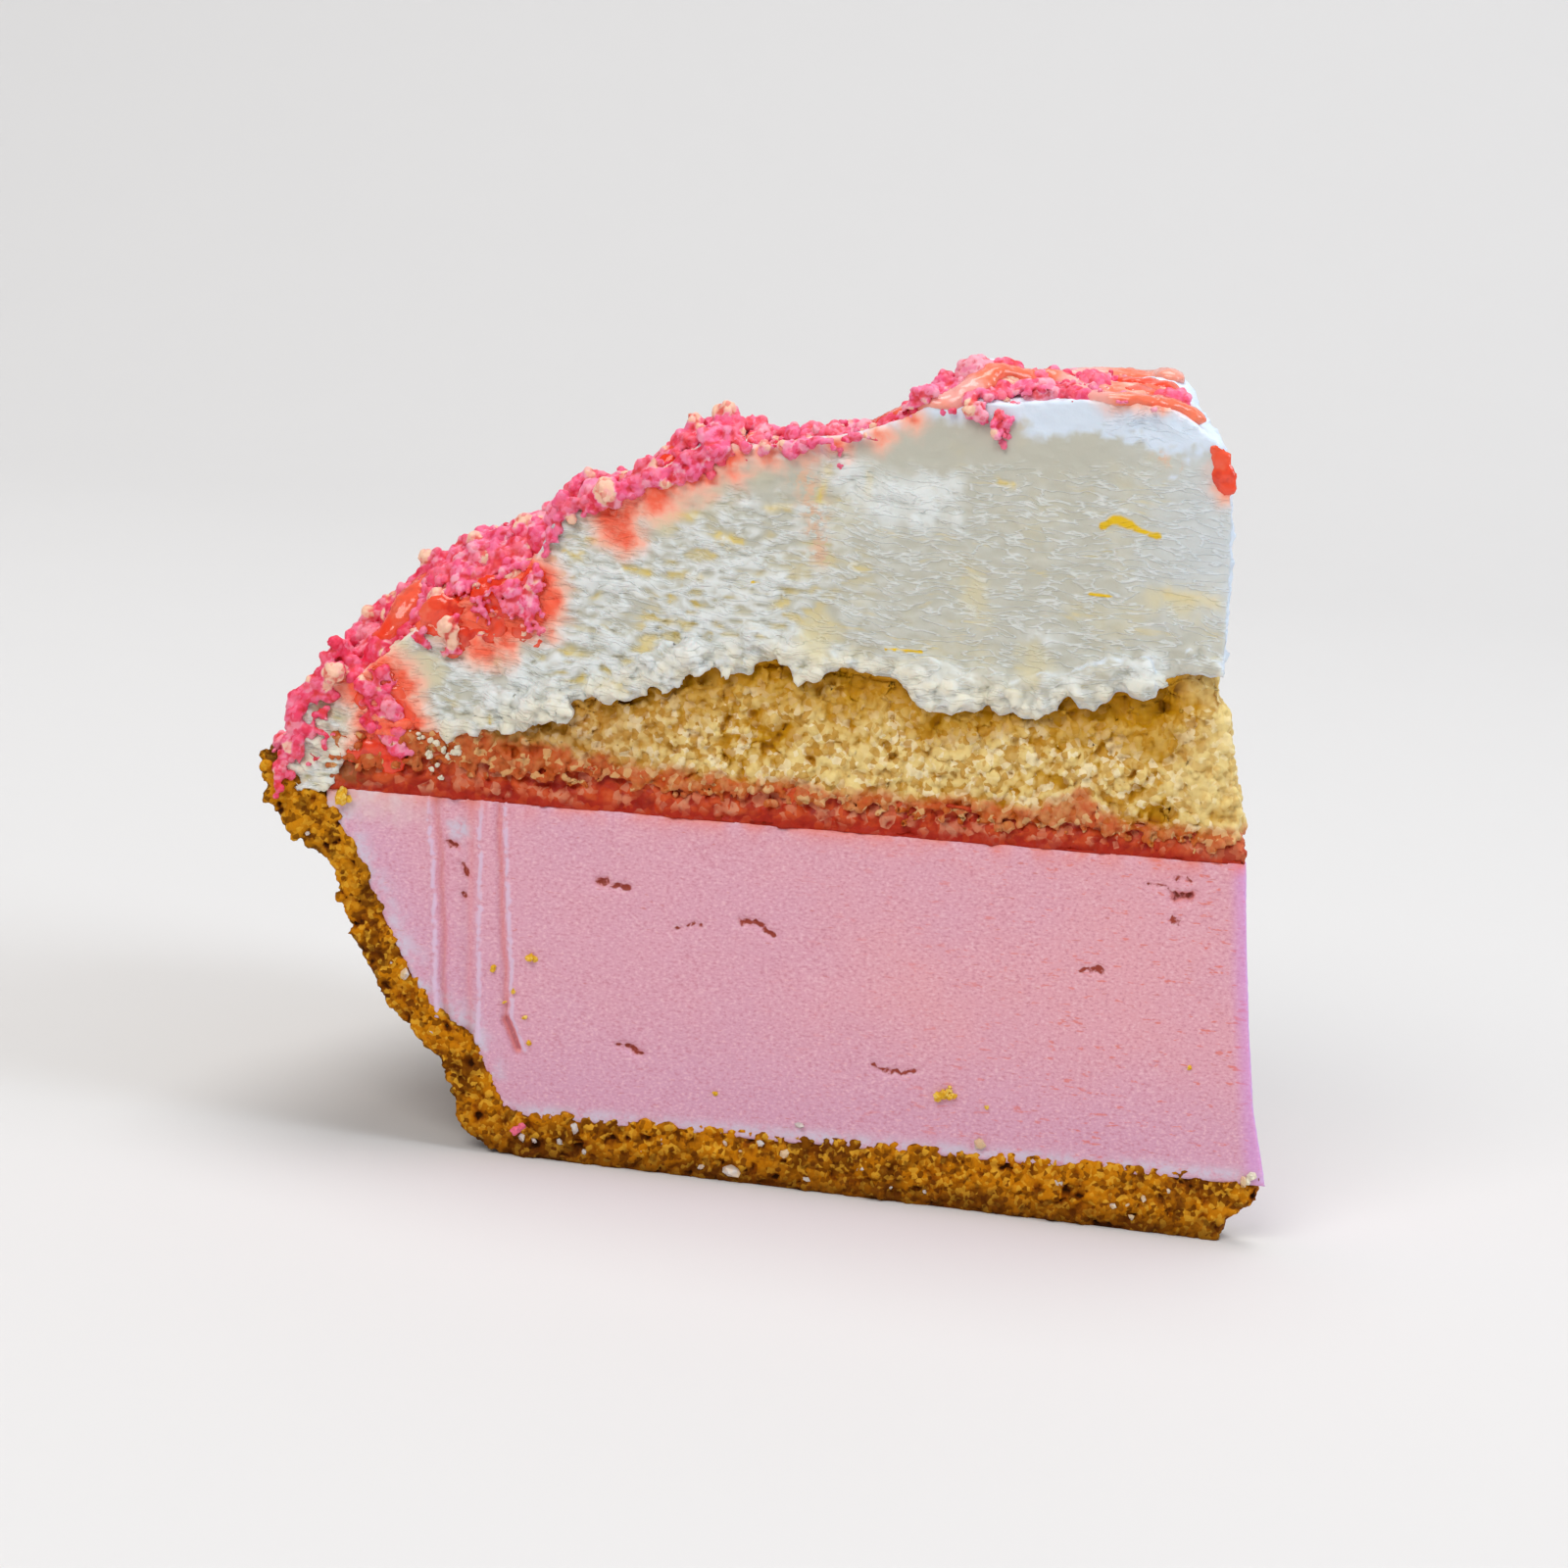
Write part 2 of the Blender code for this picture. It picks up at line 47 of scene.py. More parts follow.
# the pie that the slice was cut from
# Section curves are (distance from the pie's middle, height); level tops are (height, fall outwards).
pie = {
    "rimRadius": 114.3,
    "baseRadius": 83.0,
    "angle": math.tau / 8,
    "middle": (57.6, -40.1),
    "wallFoot": 84.0,
    "crustFloorTop": (7.5, 0.028),
    "iceCreamTop": (41.5, 0.025),
    "jamTop": (44.1, 0.006),
    "iceCreamRadius": 106.2,
    "jamRadius": 105.0,
    "spongeRadius": 101.5,
    "creamRadius": 112.0,
    "overlap": 0.15,            # the layers are frozen together, so each runs this far into the next
    "crustOutside": ((83, 0), (87, 1.4), (89.2, 3.8), (90.4, 7.6), (94.2, 12), (98.2, 15.8), (101, 20),
                     (103.2, 24.2), (104.8, 28.8), (109, 32.6), (112.6, 36.6), (114.3, 41.4)),
    "crustInside": ((84, 5.2), (85.8, 8.7), (87.6, 12.3), (91, 14), (95.5, 19.7), (100, 27.3), (104.4, 35.1),
                    (107, 38.1), (110.3, 39.2), (114.3, 41.9)),
    "spongeTop": ((11, 62.3), (17.8, 60.3), (24, 58.3), (30, 56.8), (38, 56.3), (47, 57.5), (57, 58.2),
                  (66, 56.5), (76, 52.9), (89, 47.9), (97, 46), (101.5, 45.3)),
    "domeTop": ((15, 88), (18, 90.4), (22, 91.4), (28, 91.2), (36, 90), (42, 88.8), (46, 86), (52, 83.3),
                (60, 81.4), (68, 79), (76, 75.6), (84, 71.4), (92, 66.4), (99, 61.4), (105, 55.2),
                (109.4, 48.8), (111.5, 44.6), (112, 41.8)),
    # the slice's point is blunt and leans back: (height, distance from the pie's middle)
    "pointLean": ((0, 4.8), (3.5, 3.6), (5.2, 0.6), (6.6, 0.2), (8.1, 1.3), (15.1, 2.6), (27.1, 4.5),
                  (41.1, 6.2), (47.1, 7.6), (58.1, 10.2), (62.1, 11), (71.1, 11.2), (79.1, 11.9),
                  (84.1, 12.9), (88.4, 15)),
    "leanReach": 40.0,
    # where the dome sags over the cut: (from, to, depth, reach across the slice)
    "sags": ((83.2, 107, 5.4, 7), (-3, 45, 2.2, 9)),
    "sagShoulder": 3.0,
    # where crumbs drift together: (distance out, distance behind the cut, half width, height)
    "heaps": ((68, 3.5, 6.5, 3), (92, 5, 7, 1.6), (40, 6, 6.5, 2.4), (80, 4, 4, 1.2), (76, 34, 8, 1.8),
              (96, 52, 7, 1.8), (54, 24, 7, 1.4)),
    # toppings along the edge are laid out as seen from here: (out, height) is where the line of sight
    # crosses the shown cut
    "eye": (42.31, -431.66, 107.07),
}


def mix(a, b, share):
    return a + (b - a) * share


def ease(value):
    value = min(max(value, 0.0), 1.0)
    return value * value * (3 - 2 * value)


def softStep(values, low, high):        # the same S for whole arrays, 0 at low and 1 at high
    share = np.clip((values - low) / (high - low), 0, 1)
    return share * share * (3 - 2 * share)


def smoothCurve(points):
    places, heights = np.array(sorted(points), dtype=float).T
    slopes = np.gradient(heights, places)

    def heightAt(place):
        place = min(max(place, places[0]), places[-1])
        index = min(int(np.searchsorted(places, place, side="right")) - 1, len(places) - 2)
        step = places[index + 1] - places[index]
        share = (place - places[index]) / step
        bendIn = slopes[index] * step * share * (1 - share) ** 2
        bendOut = -slopes[index + 1] * step * share ** 2 * (1 - share)
        return float(mix(heights[index], heights[index + 1], ease(share)) + bendIn + bendOut)

    return heightAt


def pointRadius(height, share):
    heights, radii = zip(*pie["pointLean"])
    return float(np.interp(height, heights, radii)) / math.cos(pie["angle"] * share)


def leaned(station, height, share):     # stations run from 0 on the leaning point to the rim
    return station + pointRadius(height, share) * max(0.0, 1 - station / pie["leanReach"])


def stationOf(radius, height, share=0.0):       # undoes the lean
    back = pointRadius(height, share)
    return (radius - back) / (1 - back / pie["leanReach"]) if radius < pie["leanReach"] else radius


def byStation(points):
    return [(stationOf(radius, height), height) for radius, height in points]


def level(name, station):
    height, fall = pie[name]
    return height - fall * station


crustOutside = smoothCurve(pie["crustOutside"])
crustInside = smoothCurve(pie["crustInside"])
spongeHump = smoothCurve(byStation(pie["spongeTop"]))
domeCurve = smoothCurve(byStation(pie["domeTop"]))


def crustFloor(station, share):
    return max(0.0, crustOutside(station))


def crustRoof(station, share):
    foot = level("crustFloorTop", station)
    return foot if station <= pie["wallFoot"] else max(foot, crustInside(station))


def seamHeight(station, share):         # the torn seam between sponge and vanilla
    angle = pie["angle"] * share
    place = Vector((station * math.cos(angle), station * math.sin(angle), 0))
    return spongeHump(station) + 0.7 * noise.noise(place / 6)


def creamFloor(station, share):
    overCake = seamHeight(min(station, pie["spongeRadius"]), share)
    overJam = level("jamTop", station) - 0.2
    onRim = max(crustInside(station) - 0.9, level("iceCreamTop", station) - 0.5)
    pastSponge = ease(station - pie["spongeRadius"] - 0.3)
    pastJam = ease(station - pie["jamRadius"] - 0.3)
    return mix(mix(overCake, overJam, pastSponge), onRim, pastJam)


def domeRoof(station, share):
    angle = pie["angle"] * share
    across = station * math.sin(angle)
    place = Vector((station * math.cos(angle), across, 50))
    calm = ease((pie["creamRadius"] - station) / 12) * ease(station / 8) * ease(across / 6)
    height = domeCurve(station) + 0.9 * noise.noise(place / 17) * calm
    for start, end, depth, reach in pie["sags"]:
        along = ease((station - start) / pie["sagShoulder"]) * ease((end - station) / pie["sagShoulder"])
        height -= depth * along * (1 - ease(across / reach))
    for out, aside, halfWidth, rise in pie["heaps"]:
        height += rise * (1 - ease(math.hypot(station - out, across - aside) / halfWidth))
    return height


def placeInSlice(station, height, share):
    angle = pie["angle"] * share
    radius = leaned(station, height, share)
    return Vector((pie["middle"][0] - radius * math.cos(angle),
                   pie["middle"][1] + radius * math.sin(angle), height))


def polar(place):                       # distance from the pie's middle, and share of the slice's angle
    out, behind = pie["middle"][0] - place[0], place[1] - pie["middle"][1]
    return math.hypot(out, behind), math.atan2(behind, out) / pie["angle"]


def intoCut(share):                     # the way into the slice from its near cut (0) or its far cut
    return Vector((0, 1, 0)) if share == 0 else Vector((-0.7, -0.7, 0))


def domePlace(station, share):
    return placeInSlice(station, domeRoof(station, share), share)


def domeUnder(place):                   # the dome's own point above or below a place
    radius, share = polar(place)
    share = min(max(share, 0.0), 1.0)
    station = max(stationOf(radius, place[2], share), 0.0)
    return Vector((place[0], place[1], domeRoof(min(station, pie["creamRadius"]), share)))


def seenPlace(out, height, width=1.0, deepest=24.0, step=0.5):
    # goes back along the line of sight from the shown cut until it meets the dome
    start = Vector((pie["middle"][0] - min(out, pie["creamRadius"]), pie["middle"][1], height))
    line = start - Vector(pie["eye"])
    line /= line.y
    nearest, gap = start, 1e9
    for count in range(round(deepest / step)):
        place = start + line * (count * step)
        if polar(place)[0] > pie["creamRadius"] + 1.0:
            break                       # past the rim there is nothing to lie on
        over = place.z - domeUnder(place).z
        if over <= 0:
            return place, domeFacing(place) if count else Vector((0, -1, 0))
        if over < gap:
            nearest, gap = domeUnder(place) + Vector((0, 0, min(over, 0.5 * width))), over
    return nearest, Vector((0, 0, 1))


def domeFacing(place, step=1.0):
    east, north = Vector((step, 0, 0)), Vector((0, step, 0))
    across = domeUnder(place + east) - domeUnder(place - east)
    away = domeUnder(place + north) - domeUnder(place)
    return across.cross(away).normalized()


# making and reading meshes

def newThing(name, data):
    thing = bpy.data.objects.new(name, data)
    scene.collection.objects.link(thing)
    return thing


def sweptLayer(name, outer, floor, roof, step=1.5, rows=6, cuts=40):
    # a closed block of the pie between a floor and a roof, from one cut to the other
    stations = np.linspace(outer, 0, round(outer / step) + 1)
    sizes = (len(stations) - 1, rows, cuts)
    bm = bmesh.new()
    made = {}

    def corner(column, row, cut):
        if (column, row, cut) not in made:
            station, share = float(stations[column]), cut / cuts
            height = mix(floor(station, share), roof(station, share), row / rows)
            made[column, row, cut] = bm.verts.new(placeInSlice(station, height, share) * mm)
        return made[column, row, cut]

    for axis in range(3):
        first, second = [a for a in range(3) if a != axis]
        for end in (0, sizes[axis]):
            for a in range(sizes[first]):
                for b in range(sizes[second]):
                    quad = []
                    for stepA, stepB in ((0, 0), (1, 0), (1, 1), (0, 1)):
                        place = [0, 0, 0]
                        place[axis], place[first], place[second] = end, a + stepA, b + stepB
                        quad.append(corner(*place))
                    bm.faces.new(quad)
    bmesh.ops.recalc_face_normals(bm, faces=bm.faces)
    mesh = bpy.data.meshes.new(name)
    bm.to_mesh(mesh)
    bm.free()
    return mesh


def ballShape(finer):
    bm = bmesh.new()
    bmesh.ops.create_icosphere(bm, subdivisions=finer, radius=0.5)
    corners = np.array([v.co[:] for v in bm.verts])
    faces = np.array([[v.index for v in f.verts] for f in bm.faces])
    bm.free()
    return corners, faces


def meshOf(name, shapes, faces):
    # one mesh of many shapes that share the same faces
    mesh = bpy.data.meshes.new(name)
    allFaces = np.concatenate([faces + number * len(shape) for number, shape in enumerate(shapes)])
    mesh.from_pydata((np.concatenate(shapes) * mm).tolist(), [], allFaces.tolist())
    return mesh


def lumpCloud(name, lumps, draw, finer=1, squash=(0.7, 1.2), rough=0.0):
    # many turned and squashed lumps in one mesh: each lump is (place, width)
    corners, faces = ballShape(finer)
    shapes = []
    for place, width in lumps:
        turn = np.array(Euler([draw.uniform(0, math.tau) for _ in range(3)]).to_matrix())
        shape = corners * [draw.uniform(*squash) for _ in range(3)]
        if rough:
            shape = shape * (1 + rough * np.array([[draw.uniform(-1, 1)] for _ in corners]))
        shapes.append(shape @ turn.T * width + np.array(place))
    return meshOf(name, shapes, faces)


def flatBlobs(name, blobs):
    # flattened blobs, each (place, direction it faces, width, thickness)
    corners, faces = ballShape(2)
    shapes = []
    for place, facing, width, thick in blobs:
        turn = np.array(Vector(facing).to_track_quat("Z", "Y").to_matrix())
        shapes.append(corners * (width, width, thick) @ turn.T + np.array(place))
    return meshOf(name, shapes, faces)


def joinedMesh(name, meshes):
    bm = bmesh.new()
    for mesh in meshes:
        bm.from_mesh(mesh)
        bpy.data.meshes.remove(mesh)
    joined = bpy.data.meshes.new(name)
    bm.to_mesh(joined)
    bm.free()
    return joined


def bake(thing):
    # turns a thing's mesh into what its modifiers make of it
    bpy.context.view_layer.update()
    old = thing.data
    thing.data = bpy.data.meshes.new_from_object(thing.evaluated_get(bpy.context.evaluated_depsgraph_get()))
    thing.modifiers.clear()
    bpy.data.meshes.remove(old)


def oneSkin(name, meshes, grain):
    # joins overlapping blocks and lumps under one even skin of small quads
    thing = newThing(name, joinedMesh(name, meshes))
    skin = thing.modifiers.new("skin", "REMESH")
    skin.mode = "VOXEL"
    skin.voxel_size = grain * mm
    bake(thing)
    thing.data.name = name
    return thing


class Surface:
    # a piece's points in millimetres, and where each one lies in the slice

    def __init__(self, thing):
        self.thing = thing
        self.place = self.read(thing.data.vertices, "co") / mm
        self.facing = self.read(thing.data.vertex_normals, "vector")
        middleX, middleY = pie["middle"]
        cos, sin = math.cos(pie["angle"]), math.sin(pie["angle"])
        self.out = middleX - self.place[:, 0]
        self.behind = self.place[:, 1] - middleY
        self.height = self.place[:, 2]
        self.outFar = self.out * cos + self.behind * sin
        self.behindFar = self.out * sin - self.behind * cos
        self.radius = np.hypot(self.out, self.behind)
        self.nearCut = softStep(self.facing[:, 1], -0.35, -0.7) * softStep(self.behind, 3, 1.5)
        facingFar = self.facing[:, 0] * sin + self.facing[:, 1] * cos
        self.farCut = softStep(facingFar, 0.35, 0.7) * softStep(self.behindFar, 3, 1.5)
        self.cut = np.maximum(self.nearCut, self.farCut)
        self.tip = softStep(self.facing[:, 0], 0.6, 0.85) * softStep(self.out, 18, 12)
        eye = np.array(pie["eye"])
        share = (middleY - eye[1]) / (self.place[:, 1] - eye[1])
        seen = eye + (self.place - eye) * share[:, None]
        self.seenOut, self.seenHeight = middleX - seen[:, 0], seen[:, 2]

    def read(self, items, what):
        values = np.empty(len(items) * 3, np.float32)
        items.foreach_get(what, values)
        return values.reshape(-1, 3).astype(float)

    def stand(self):
        # how far each point stands out of the cut that it lies on
        behind = self.place[:, 1] - pie["middle"][1]
        out = pie["middle"][0] - self.place[:, 0]
        behindFar = (out - behind) * math.sin(pie["angle"])
        return -np.where(self.farCut > self.nearCut, behindFar, behind)

    def push(self, amount):
        self.place += self.facing * np.asarray(amount)[:, None]

    def mark(self, name, values):
        layer = self.thing.data.attributes.new(name, "FLOAT", "POINT")
        layer.data.foreach_set("value", np.asarray(values, np.float32))

    def settle(self):
        # writes the moved points back, and keeps the slice standing on the table
        self.place[:, 2] = np.maximum(self.place[:, 2], 0.0)
        mesh = self.thing.data
        mesh.vertices.foreach_set("co", (self.place * mm).astype(np.float32).ravel())
        mesh.shade_smooth()
        mesh.update()

    def thin(self, hidden, sparse=None):
        # far fewer faces where a neighbour lies against the piece and nothing shows, and somewhat fewer in
        # places without fine relief
        inside = hidden & (self.behind > 1.2) & (self.behindFar > 1.2)
        sparse = np.zeros(len(inside), bool) if sparse is None else sparse & ~inside & (self.behind > 12)
        chosen = self.thing.vertex_groups.new(name="hidden")
        chosen.add(np.flatnonzero(sparse).tolist(), 0.4, "REPLACE")
        chosen.add(np.flatnonzero(inside).tolist(), 1.0, "REPLACE")
        fewer = self.thing.modifiers.new("thin", "DECIMATE")
        fewer.vertex_group = chosen.name
        fewer.ratio = 1 - 0.95 * float(inside.mean()) - 0.55 * float(sparse.mean())
        bake(self.thing)
        self.thing.vertex_groups.clear()


def outAlongCut(surface):               # distance out along whichever cut is nearer
    return np.where(surface.farCut > surface.nearCut, surface.outFar, surface.out)


def waves(places, size, seed=0.0, depth=1):
    # slow seeded noise from about -1 to 1
    where = (places / size + seed).tolist()
    if depth == 1:
        return np.array([noise.noise(p) for p in where])
    return np.array([noise.fractal(p, 1.0, 2.0, depth) for p in where])


def grains(places, size, seed=0.0):
    # packed round grains: how high each point stands (0 in a gap, 1 on a grain) and a tone for each grain
    found = [noise.voronoi(p) for p in (places / size + seed).tolist()]
    reach = np.array([f[0][0] for f in found])
    homes = np.array([tuple(f[1][0]) for f in found])
    tone = np.modf(np.abs(np.sin(homes @ (12.99, 78.23, 37.72))) * 4375.85)[0]
    return np.clip(1 - (reach * 1.15) ** 2, 0, 1), tone


def readOff(table, places):
    # the value of a table of (place, value) at many places
    return np.interp(places, *np.array(table).T)


def sectionHeights(curve, out, limit):
    # the height of a section curve at many distances out
    return np.array([curve(float(s)) for s in np.clip(out, 0, pie[limit])])


def awayFromStroke(out, height, start, end):
    # distance from a straight stroke on the cut face
    (outA, highA), (outB, highB) = start, end
    run = np.array((outB - outA, highB - highA))
    length = max(float(np.hypot(*run)), 0.01)
    share = np.clip(((out - outA) * run[0] + (height - highA) * run[1]) / length ** 2, 0, 1)
    return np.hypot(out - outA - share * run[0], height - highA - share * run[1])


def strokeNearness(out, height, strokes):
    # 1 on a stroke, fading over its width
    nearness = np.zeros(len(out))
    for start, end, width in strokes:
        nearness = np.maximum(nearness, np.exp(-(awayFromStroke(out, height, start, end) / width) ** 2))
    return nearness


def spotNearness(out, height, spots, core, wander, flatter=1.0):
    # 1 in the core of a spot, fading raggedly up to its reach
    nearness = np.zeros(len(out))
    for x, z, reach in spots:
        away = np.hypot(out - x, (height - z) * flatter) + wander
        nearness = np.maximum(nearness, 1 - softStep(away, reach * core, reach))
    return nearness


def discNearness(out, height, discs, fade):
    # 1 on a disc, fading over a few millimetres round it
    nearness = np.zeros(len(out))
    for x, z, radius in discs:
        away = np.hypot(out - x, height - z)
        nearness = np.maximum(nearness, 1 - softStep(away, radius - fade, radius + fade))
    return nearness


def crumbRelief(surface, piece):
    # packed crumb, finer grains on clumps with torn holes between them
    relief, highs, tones = 0.0, [], []
    for size, seed, depth, sunk, uneven in (piece["clumps"], piece["grains"]):
        high, tone = grains(surface.place, size, seed)
        relief = relief + depth * (high - sunk) + uneven * (tone - 0.5)
        highs.append(high)
        tones.append(tone)
    size, seed, low, full, depth = piece["holes"]
    holes = softStep(waves(surface.place, size, seed, 3), low, full)
    surface.mark("tone", 0.4 * tones[0] + 0.6 * tones[1])
    return relief - depth * holes, *highs, holes, tones[1]


def treeOf(places):
    tree = kdtree.KDTree(len(places))
    for index, place in enumerate(places):
        tree.insert(place, index)
    tree.balance()
    return tree


def finish(thing, slot, material, *nodes):
    thing.data.materials.clear()
    thing.data.materials.append(material)
    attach(thing, "root")
    if nodes:
        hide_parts(*nodes)
    faces = sum(len(p.vertices) - 2 for p in thing.data.polygons)
    print(f"made: {thing.name}, {faces} triangles")


# mixing paint

def colour(red, green, blue):           # 0 to 255 on the screen
    parts = [c / 255 for c in (red, green, blue)]
    return (*[c / 12.92 if c <= 0.04045 else ((c + 0.055) / 1.055) ** 2.4 for c in parts], 1.0)


class Paint:
    # a Principled material that is mixed up step by step from the values in a piece's dictionary

    def __init__(self, name, piece):
        self.piece = piece
        self.material = bpy.data.materials.new(name)
        self.material.use_nodes = True
        self.tree = self.material.node_tree
        self.shader = self.tree.nodes["Principled BSDF"]
        settings = {"IOR": 1.4, "Coat Roughness": 0.12, "Subsurface Radius": (1.0, 0.6, 0.5),
                    "Subsurface Scale": 1.5, **piece["finish"]}
        settings["Subsurface Scale"] *= mm
        for setting, value in settings.items():
            self.shader.inputs[setting].default_value = value
        self.spot = self.tree.nodes.new("ShaderNodeTexCoord").outputs["Object"]
        self.patterns = {}              # patterns and marks of the surface that the layers call by name
        if "crystal" in piece:
            self.patterns["crystal"], self.patterns["middle"] = self.crystals(piece["crystal"])
        self.now = None

    def add(self, kind, **inputs):
        node = self.tree.nodes.new(kind)
        for name, value in inputs.items():
            self.fill(node.inputs[name], value)
        return node

    def fill(self, socket, value):
        if isinstance(value, bpy.types.NodeSocket):
            self.tree.links.new(value, socket)
        else:
            socket.default_value = value

    def stretched(self, along, across, up):
        node = self.add("ShaderNodeMapping", Vector=self.spot)
        node.inputs["Scale"].default_value = (1 / along, 1 / across, 1 / up)
        return node.outputs["Vector"]

    def cloud(self, size, detail=3.0, where=None, unit=mm):
        return self.add("ShaderNodeTexNoise", Vector=where or self.spot, Scale=1 / unit / size,
                        Detail=detail, Roughness=0.6).outputs["Fac"]

    def crystals(self, size):
        # a tone for each tiny crystal, and how far each spot lies from its crystal's middle
        node = self.add("ShaderNodeTexVoronoi", Vector=self.spot, Scale=1 / mm / size)
        tone = self.add("ShaderNodeSeparateColor", Color=node.outputs["Color"]).outputs[0]
        return tone, node.outputs["Distance"]

    def mask(self, name):
        node = self.tree.nodes.new("ShaderNodeAttribute")
        node.attribute_name = name
        return node.outputs["Fac"]

    def within(self, value, low, high):
        # 0 at low and 1 at high, in an S
        node = self.add("ShaderNodeMapRange", Value=value)
        node.interpolation_type = "SMOOTHSTEP"
        node.inputs["From Min"].default_value = low
        node.inputs["From Max"].default_value = high
        return node.outputs["Result"]

    def lines(self, value, width):
        # thin wavy lines where a cloud crosses its middle value
        return self.times(self.within(value, 0.5 - width, 0.5), self.within(value, 0.5 + width, 0.5))

    def ownPlace(self, along, across):
        # a place that is laid out by two marks of the surface
        return self.add("ShaderNodeCombineXYZ", X=self.mask(along), Z=self.mask(across)).outputs["Vector"]

    def spread(self, value, low, high):
        # the middle range of a cloud, stretched from low to high
        node = self.add("ShaderNodeMapRange", Value=value)
        for name, number in zip(("From Min", "From Max", "To Min", "To Max"), (0.3, 0.7, low, high)):
            node.inputs[name].default_value = number
        return node.outputs["Result"]

    def times(self, a, b):
        node = self.tree.nodes.new("ShaderNodeMath")
        node.operation = "MULTIPLY"
        node.use_clamp = True
        self.fill(node.inputs[0], a)
        self.fill(node.inputs[1], b)
        return node.outputs[0]

    def start(self, base):
        node = self.tree.nodes.new("ShaderNodeRGB")
        node.outputs[0].default_value = base
        self.now = node.outputs[0]

    def over(self, amount, tint):
        node = self.tree.nodes.new("ShaderNodeMix")
        node.data_type = "RGBA"
        self.fill(node.inputs["Factor"], amount)
        self.fill(node.inputs[6], self.now)
        self.fill(node.inputs[7], tint)
        self.now = node.outputs[2]

    def share(self, part):
        # a number, or a pattern or mark by name, alone or with the range in which it comes up; noise is
        # (kind, size, detail), and a cloud or veil has a range too
        if isinstance(part, (int, float)):
            return part
        if isinstance(part, str):
            if part not in self.patterns:
                self.patterns[part] = self.mask(part)
            return self.patterns[part]
        kind, *numbers = part
        if kind == "noise":
            return self.cloud(*numbers)
        if kind in ("cloud", "veil"):
            size, detail, low, high = numbers
            shape = self.within if kind == "cloud" else self.spread
            return shape(self.cloud(size, detail), low, high)
        return self.within(self.share(kind), *numbers)

    def lay(self):
        # lays the layers from the ground up: (tint, share of it that shows), the share being the product
        # of its parts
        (ground,), *layers = self.piece["layers"]
        self.start(colour(*self.piece[ground]))
        for tint, *parts in layers:
            amount = functools.reduce(self.times, [self.share(part) for part in parts])
            self.over(amount, colour(*self.piece[tint]))

    def done(self):
        # adds the bumps, each (pattern, strength, height), and the changes in roughness
        self.tree.links.new(self.now, self.shader.inputs["Base Color"])
        under = None
        for part, strength, distance in self.piece.get("bumps", ()):
            node = self.add("ShaderNodeBump", Height=self.share(part), Strength=strength,
                            Distance=distance * mm)
            if under is not None:
                self.tree.links.new(under, node.inputs["Normal"])
            under = node.outputs["Normal"]
        if under is not None:
            self.tree.links.new(under, self.shader.inputs["Normal"])
        if "rough" in self.piece:
            self.tree.links.new(self.share(self.piece["rough"]), self.shader.inputs["Roughness"])
        return self.material

    def mixed(self):
        # the finished material, once the piece's own patterns are in place
        self.lay()
        return self.done()


# crumb crust

crumbCrust = {
    "grain": 0.31,                      # size of the mesh's quads
    "lumps": 2600, "lumpWidth": (0.7, 2.2),
    # packed crumb: (size, seed, depth, how far it sinks, unevenness)
    "clumps": (2.1, 3.1, 0.42, 0.6, 0.2), "grains": (0.85, 7.7, 0.42, 0.6, 0.2),
    "holes": (1.7, 5.5, 0.3, 0.6, 0.4),     # (size, seed, from, to, depth)
    # lumps drawn below the first share lie on the near cut, above the second on the far one
    "cutShares": (0.35, 0.84),
    "gold": (200, 124, 6), "amber": (148, 76, 0), "dark": (88, 40, 0), "pit": (54, 22, 0),
    "pale": (228, 170, 50), "olive": (92, 62, 2), "warm": (214, 148, 24),
    "finish": {"Roughness": 0.6, "IOR": 1.18},
    "crystal": 0.5, "bumps": (("middle", 0.5, -0.25), (("noise", 0.4, 4), 0.4, 0.12)),
    "rough": ("veil", 1.2, 3, 0.65, 0.95),
    # layers of paint, see Paint.lay; gold, pale and warm on raised grains are painted highlight
    "layers": (
        ("amber",), ("gold", ("high", 0.4, 0.9)), ("dark", ("cloud", 7.0, 3, 0.48, 0.62), 0.75),
        ("gold", ("tone", 0.62, 0.85), 0.7), ("pale", ("crystal", 0.6, 0.95), ("high", 0.3, 0.7), 0.75),
        ("warm", "wall", ("high", 0.2, 0.6), 0.35), ("dark", ("tone", 0.42, 0.15), 0.7),
        # painted shade: olive on the outside of the wall, dark at the foot by the table
        ("dark", ("crystal", 0.3, 0.05), 0.7), ("olive", "outside", 0.6), ("dark", "low", 0.65),
        # painted shade: the darkest brown in the gaps between the grains
        ("pit", ("high", 0.42, 0.08))),
    "seed": 11,
}


def crustLumps(draw):
    lumps = []
    for _ in range(crumbCrust["lumps"]):
        width = draw.triangular(*crumbCrust["lumpWidth"], crumbCrust["lumpWidth"][0])
        side = draw.random()
        station = draw.uniform(2, pie["rimRadius"] - 0.8)
        rise = draw.random()
        near, far = crumbCrust["cutShares"]
        if side < near or side > far:
            share = 0.0 if side < near else 1.0
            height = mix(crustFloor(station, 0), crustRoof(station, 0), 0.08 + 0.84 * rise)
            place = placeInSlice(station, height, share)
            place += intoCut(share) * width * draw.uniform(0.0, 0.4)
        else:                           # on the outside of the wall
            station = draw.uniform(pie["baseRadius"] + 1, pie["rimRadius"])
            height = crustOutside(station) + width * 0.2
            place = placeInSlice(station - width * 0.2, height, draw.random())
        place.z = max(place.z, width * 0.45)
        lumps.append((place, width))
    return lumps


